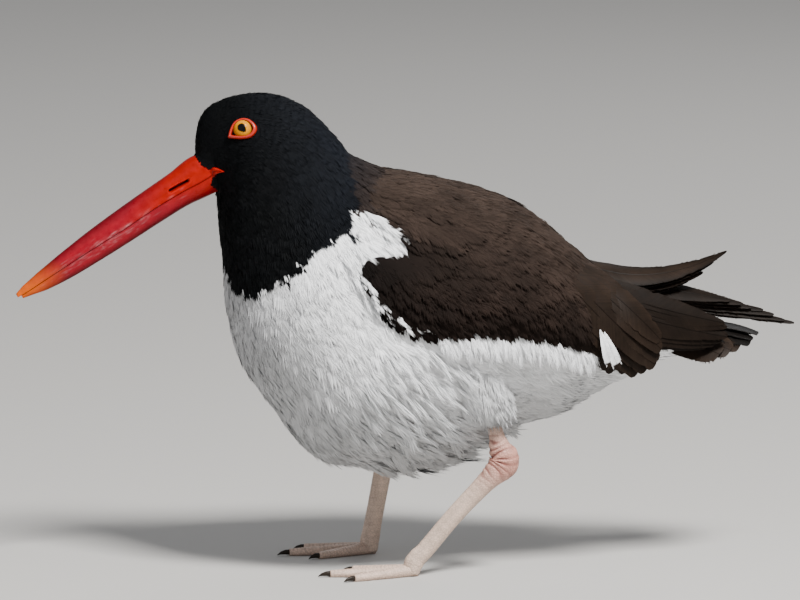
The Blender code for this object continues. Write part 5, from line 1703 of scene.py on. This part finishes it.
def make_eyes():
    """Both eyes with their red lids."""
    b = bare()
    red, gold = np.array(b.lid), np.array(b.iris)
    outline = closed_curve(LID_OUTLINE, 88)
    for side, word in ((-1, "left"), (1, "right")):
        place, out, forward, up = eye_frame(side)
        points, tones = [], []
        count = len(outline)
        for share, height in LID_PROFILE:
            ring = place + forward * outline[:, :1] * share + up * outline[:, 1:] * share + out * height
            points.append(ring)
            # Painted shade: the lid's inner rows, where they turn down to the eyeball, are painted darker.
            deep = np.clip((0.45 - height) / 0.9, 0.0, 1.0) if share < 0.8 else 0.0
            tones.append(np.tile(red * (1 - 0.8 * deep), (count, 1)))
        faces = []
        rows = len(LID_PROFILE)
        for row in range(rows):
            for k in range(count):
                n = (k + 1) % count
                m = (row + 1) % rows
                faces.append((row * count + k, row * count + n, m * count + n, m * count + k))
        mesh = solid_mesh("lid_ring_" + word, np.concatenate(points), faces)
        store_tones(mesh, np.concatenate(tones))
        lid = add_piece("lid_ring_" + word, mesh, finish("lid"))
        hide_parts("lids_" + word)
        rings, sides = 60, 96
        centre = place + out * (EYE_STAND_OUT - EYE_RADIUS)
        slope = math.pi * (np.arange(rings) + 0.15) / rings
        turn = 2 * math.pi * np.arange(sides) / sides
        points, tones = [], []
        for s in slope:
            bulge = EYE_RADIUS + 0.25 * max(0.0, math.cos(s)) ** 6
            flat = forward * np.cos(turn)[:, None] + up * np.sin(turn)[:, None]
            points.append(centre + out * bulge * math.cos(s) + flat * bulge * math.sin(s))
            reach = EYE_RADIUS * math.sin(s) if s < math.pi / 2 else 9.0
            fleck = np.exp(-(((np.degrees(turn) - 222 + 180) % 360 - 180) / 30) ** 2) * 0.75
            pupil = reach < PUPIL_RADIUS + fleck
            spokes = 1 + 0.1 * np.sin(turn * 31) + 0.06 * np.sin(turn * 53 + 1)
            ring = gold * (0.75 + 0.35 * math.exp(-((reach - 2.4) / 0.9) ** 2)) * spokes[:, None]
            ring = ring if reach < IRIS_RADIUS else np.tile(red * 0.12, (sides, 1))
            tones.append(np.where(pupil[:, None], 0.004, ring))
        mesh = solid_mesh("eyeball_" + word, np.concatenate(points), tube_faces(rings, sides))
        store_tones(mesh, np.clip(np.concatenate(tones), 0, 1))
        eye = add_piece("eyeball_" + word, mesh, finish("eye"))
        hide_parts("eye_" + word)


def make_legs():
    """Both legs with the folds of the heel, the toes with their plates, and the claws."""
    b = bare()
    pink, deep = np.array(b.leg), np.array(b.heel)
    for side, word, path, foot in ((-1, "left", near_leg_path(), NEAR_FOOT), (1, "right", far_leg_path(), FAR_FOOT)):
        rows, sides = 190, 36
        fine = smooth_rows(path, np.linspace(0, len(path) - 1, rows))
        fine[:, 3:] = np.maximum(fine[:, 3:], 0.5)
        points = limb_points(fine, sides).reshape(rows, sides, 3)
        centre = fine[:, None, :3]
        out = points - centre
        turn = 2 * math.pi * np.arange(sides) / sides
        run = np.concatenate(((0.0,), np.cumsum(np.linalg.norm(np.diff(fine[:, :3], axis=0), axis=1))))
        bent = np.exp(-((fine[:, 0] - HEEL[0]) ** 2 + (fine[:, 2] - HEEL[1]) ** 2) / 120.0) if side < 0 else run * 0
        front = 0.3 + 0.7 * np.clip(0.5 - out[..., 0] / np.linalg.norm(out, axis=-1), 0.0, 1.0)
        wave = run[:, None] * 2.6 + 1.4 * np.sin(turn * 2 + run[:, None] * 0.7) + 0.8 * np.sin(run[:, None] * 1.3)
        folds = np.sin(wave) * bent[:, None] * front
        plates = np.abs(np.sin(run[:, None] * 1.15 + 0.3 * np.cos(turn))) * (1 - bent[:, None])
        swell = 0.06 * folds - 0.02 * (1 - plates) ** 3
        points = centre + out * (1 + swell[..., None])
        # Painted shade: the heel's folds are painted dark red where they sink in.
        crease_shade = np.clip(-1.7 * folds, 0, 1)[..., None] ** 1.2
        tone = pink + (deep - pink) * np.clip(bent[:, None, None] * 0.75 + 0.15, 0, 1)
        tone = tone + (np.array((0.13, 0.016, 0.012)) - tone) * 0.85 * crease_shade
        ridge = np.exp(-((turn - 4.2) / 0.3) ** 2)[None, :, None] * (1 - bent[:, None, None])
        tone = tone * (1 - 0.1 * (1 - plates[..., None]) ** 2) * (1 - 0.14 * ridge)
        points[..., 2] = np.maximum(points[..., 2], 0.3)
        mesh = solid_mesh("shank_" + word, points.reshape(-1, 3), tube_faces(rows, sides))
        store_tones(mesh, np.clip(np.broadcast_to(tone, points.shape).reshape(-1, 3), 0, 1))
        shank = add_piece("shank_" + word, mesh, finish("leg"))
        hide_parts("leg_" + word)
        make_foot(side, word, foot, pink, deep)


def make_foot(side, word, foot, pink, deep):
    """Three toes with cross plates above and pads below, and their claws."""
    b = bare()
    joint = np.array((foot[0], side * LEG_SIDE, 0.0))
    points, faces, tones = [], [], []
    table = ((-0.08, 0.9), (-0.05, 2.2), (0.0, 2.9), (0.3, 2.5), (0.42, 2.75), (0.68, 2.1), (0.8, 2.3), (1.0, 1.25))
    rows, sides = 90, 28
    turn = 2 * math.pi * np.arange(sides) / sides
    for number, (length, way_turn) in enumerate(zip(TOE_LENGTHS, TOE_TURNS)):
        angle = math.radians(way_turn) * (1 if side < 0 else -1)
        way = np.array((-math.cos(angle), -math.sin(angle), 0.0))
        share = np.linspace(-0.08, 1.0, rows)
        radius = np.interp(share, *np.array(table).T)
        radius = np.convolve(np.pad(radius, 3, mode="edge"), np.ones(7) / 7, mode="valid")
        height = TOE_HEIGHT * (1.1 - 0.45 * np.maximum(share, 0.0))
        path = np.stack((
            joint[0] + way[0] * length * share, joint[1] + way[1] * length * share, height, height * 1.12, radius
        ), axis=-1)
        ring = limb_points(path, sides).reshape(rows, sides, 3)
        out = ring - path[:, None, :3]
        above = np.clip(out[..., 2] / height[:, None], 0, 1)
        plates = np.abs(np.sin(share * length * 2.0))[:, None]
        pads = np.abs(np.sin(share * length * 1.1))[:, None] * (1 - above)
        ring = path[:, None, :3] + out * (1 - 0.07 * above * (1 - plates) ** 2 + 0.02 * pads)[..., None]
        ring[..., 2] = np.clip(ring[..., 2], 0.0, None)
        faces += tube_faces(rows, sides, sum(len(q) for q in points))
        points.append(ring.reshape(-1, 3))
        tone = pink * (1 - 0.35 * above * (1 - plates) ** 3)[..., None] + (deep - pink) * 0.2
        tones.append(tone.reshape(-1, 3))
        claw_rows, claw_sides = 24, 16
        s = np.linspace(0, 1, claw_rows)
        thick = np.interp(s, (0.0, 0.35, 0.7, 1.0), (1.15, 1.0, 0.65, 0.12))
        high = np.interp(s, (0.0, 0.35, 0.7, 1.0), (1.45, 1.5, 1.15, 0.4))
        tip = joint + way * (length - 0.4)
        claw = np.stack((
            tip[0] + way[0] * (CLAW_LENGTH + 0.4) * s, tip[1] + way[1] * (CLAW_LENGTH + 0.4) * s, high, thick, thick * 0.85
        ), axis=-1)
        name = "claw_%s_%d" % (word, number + 1)
        mesh = solid_mesh("nail_%s_%d" % (word, number + 1), limb_points(claw, claw_sides), tube_faces(claw_rows, claw_sides))
        pale = np.repeat(1.0 + 0.5 * np.exp(-s * 6), claw_sides)[:, None]
        store_tones(mesh, np.clip(np.array(b.claw) * pale, 0, 1))
        nail = add_piece("nail_%s_%d" % (word, number + 1), mesh, finish("claw"))
        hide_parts(name)
    mesh = solid_mesh("toes_" + word, np.concatenate(points), faces)
    store_tones(mesh, np.clip(np.concatenate(tones), 0, 1))
    toes = add_piece("toes_" + word, mesh, finish("leg"))
    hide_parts("foot_" + word)


def area_light(name, place, target, size, strength, colour=(1.0, 1.0, 1.0)):
    """A soft square light that looks at a point."""
    data = bpy.data.lights.new(name, "AREA")
    data.energy = strength
    data.size = size
    data.color = colour
    light = bpy.data.objects.new(name, data)
    bpy.context.scene.collection.objects.link(light)
    way = np.array(target) - np.array(place)
    light.location = place
    light.rotation_euler = direction_euler(way)


def direction_euler(way):
    """The turn that points an object's -Z along a way, with +Y up."""
    way = unit(np.array(way, float))
    return (math.acos(max(-1.0, min(1.0, -way[2]))), 0.0, math.atan2(-way[0], way[1]))


def make_stage():
    """A pale floor, soft studio light and the camera at the photo's angle."""
    s = bpy.context.scene.oystercatcher_stage
    size = 6.0
    mesh = bpy.data.meshes.new("floor")
    mesh.from_pydata([(-size, -size, 0), (size, -size, 0), (size, size, 0), (-size, size, 0)], [], [(0, 1, 2, 3)])
    f = Finish("floor_paper", 0.9)
    f.shader.inputs["Base Color"].default_value = (*s.floor, 1.0)
    f.bump(f.noise(220.0, 4.0), 0.0002, 0.3)
    mesh.materials.append(f.material)
    floor = bpy.data.objects.new("floor", mesh)
    bpy.context.scene.collection.objects.link(floor)
    target = (FRAME_SHIFT_X * MM, 0.0, VIEW_CENTRE_Z * MM)
    area_light("key", (0.42, -0.95, 1.5), target, 0.45, s.key, (1.0, 0.985, 0.96))
    area_light("fill", (-1.3, -1.2, 0.7), target, 1.4, s.fill, (0.95, 0.97, 1.0))
    area_light("rim", (0.7, 1.3, 1.1), target, 0.8, s.fill * 1.3)
    world = bpy.data.worlds.new("studio")
    world.use_nodes = True
    world.node_tree.nodes["Background"].inputs["Color"].default_value = (0.78, 0.80, 0.84, 1.0)
    world.node_tree.nodes["Background"].inputs["Strength"].default_value = 0.36
    bpy.context.scene.world = world
    camera = bpy.data.objects.new("camera", bpy.data.cameras.new("camera"))
    bpy.context.scene.collection.objects.link(camera)
    a, e = math.radians(VIEW_AZIMUTH), math.radians(VIEW_ELEVATION)
    back = np.array((math.sin(a) * math.cos(e), -math.cos(a) * math.cos(e), math.sin(e)))
    camera.location = np.array(target) + back * s.distance
    camera.rotation_euler = direction_euler(-back)
    camera.data.lens = camera.data.sensor_width * s.distance / (VIEW_WIDTH * MM)
    camera.data.clip_end = 60.0
    bpy.context.scene.camera = camera


class BIRD_OT_stage(Operator):
    """Make the floor, the lights and the camera"""

    bl_idname = "bird.make_stage"
    bl_label = "Stage"

    def execute(self, context):
        make_stage()
        return {"FINISHED"}


class BIRD_OT_skin(Operator):
    """Make the one skin under the coat"""

    bl_idname = "bird.make_skin"
    bl_label = "Skin"

    def execute(self, context):
        make_skin()
        return {"FINISHED"}


class BIRD_OT_coat(Operator):
    """Grow the small feathers of the head, neck, back, breast and belly"""

    bl_idname = "bird.make_coat"
    bl_label = "Coat"

    def execute(self, context):
        make_coats()
        return {"FINISHED"}


class BIRD_OT_wings(Operator):
    """Make both wing covers and grow their coverts"""

    bl_idname = "bird.make_wings"
    bl_label = "Wing covers"

    def execute(self, context):
        for side, word in ((-1, "left"), (1, "right")):
            make_wing_cover(side, word)
            make_coverts(side, word)
            make_fringe(side, word)
        return {"FINISHED"}


class BIRD_OT_flight(Operator):
    """Make the long feathers of the wings and the tail"""

    bl_idname = "bird.make_flight"
    bl_label = "Long feathers"

    def execute(self, context):
        make_flight()
        make_tail()
        return {"FINISHED"}


class BIRD_OT_bill(Operator):
    """Make both mandibles"""

    bl_idname = "bird.make_bill"
    bl_label = "Bill"

    def execute(self, context):
        make_bill()
        return {"FINISHED"}


class BIRD_OT_eyes(Operator):
    """Make the eyes and their lids"""

    bl_idname = "bird.make_eyes"
    bl_label = "Eyes"

    def execute(self, context):
        make_eyes()
        return {"FINISHED"}


class BIRD_OT_legs(Operator):
    """Make the legs, toes and claws"""

    bl_idname = "bird.make_legs"
    bl_label = "Legs"

    def execute(self, context):
        make_legs()
        return {"FINISHED"}


STEPS = (
    BIRD_OT_stage, BIRD_OT_skin, BIRD_OT_coat, BIRD_OT_wings, BIRD_OT_flight, BIRD_OT_bill, BIRD_OT_eyes,
    BIRD_OT_legs,
)


class VIEW3D_PT_oystercatcher(Panel):
    """Settings and steps of the oystercatcher"""

    bl_label = "Oystercatcher"
    bl_space_type = "VIEW_3D"
    bl_region_type = "UI"
    bl_category = "Oystercatcher"

    def draw(self, context):
        scene = context.scene
        for group in (scene.oystercatcher_plumage, scene.oystercatcher_bare, scene.oystercatcher_stage):
            box = self.layout.box()
            for name in group.__annotations__:
                box.prop(group, name)
        for step in STEPS:
            self.layout.operator(step.bl_idname)


CLASSES = (PlumageSettings, BareSettings, StageSettings, *STEPS, VIEW3D_PT_oystercatcher)


def register():
    for item in CLASSES:
        bpy.utils.register_class(item)
    bpy.types.Scene.oystercatcher_plumage = PointerProperty(type=PlumageSettings)
    bpy.types.Scene.oystercatcher_bare = PointerProperty(type=BareSettings)
    bpy.types.Scene.oystercatcher_stage = PointerProperty(type=StageSettings)


def unregister():
    del bpy.types.Scene.oystercatcher_plumage
    del bpy.types.Scene.oystercatcher_bare
    del bpy.types.Scene.oystercatcher_stage
    for item in reversed(CLASSES):
        bpy.utils.unregister_class(item)


def main():
    register()
    bpy.ops.bird.make_stage()
    bpy.ops.bird.make_skin()
    bpy.ops.bird.make_coat()
    bpy.ops.bird.make_wings()
    bpy.ops.bird.make_flight()
    bpy.ops.bird.make_bill()
    bpy.ops.bird.make_eyes()
    bpy.ops.bird.make_legs()


if __name__ == "__main__":
    main()
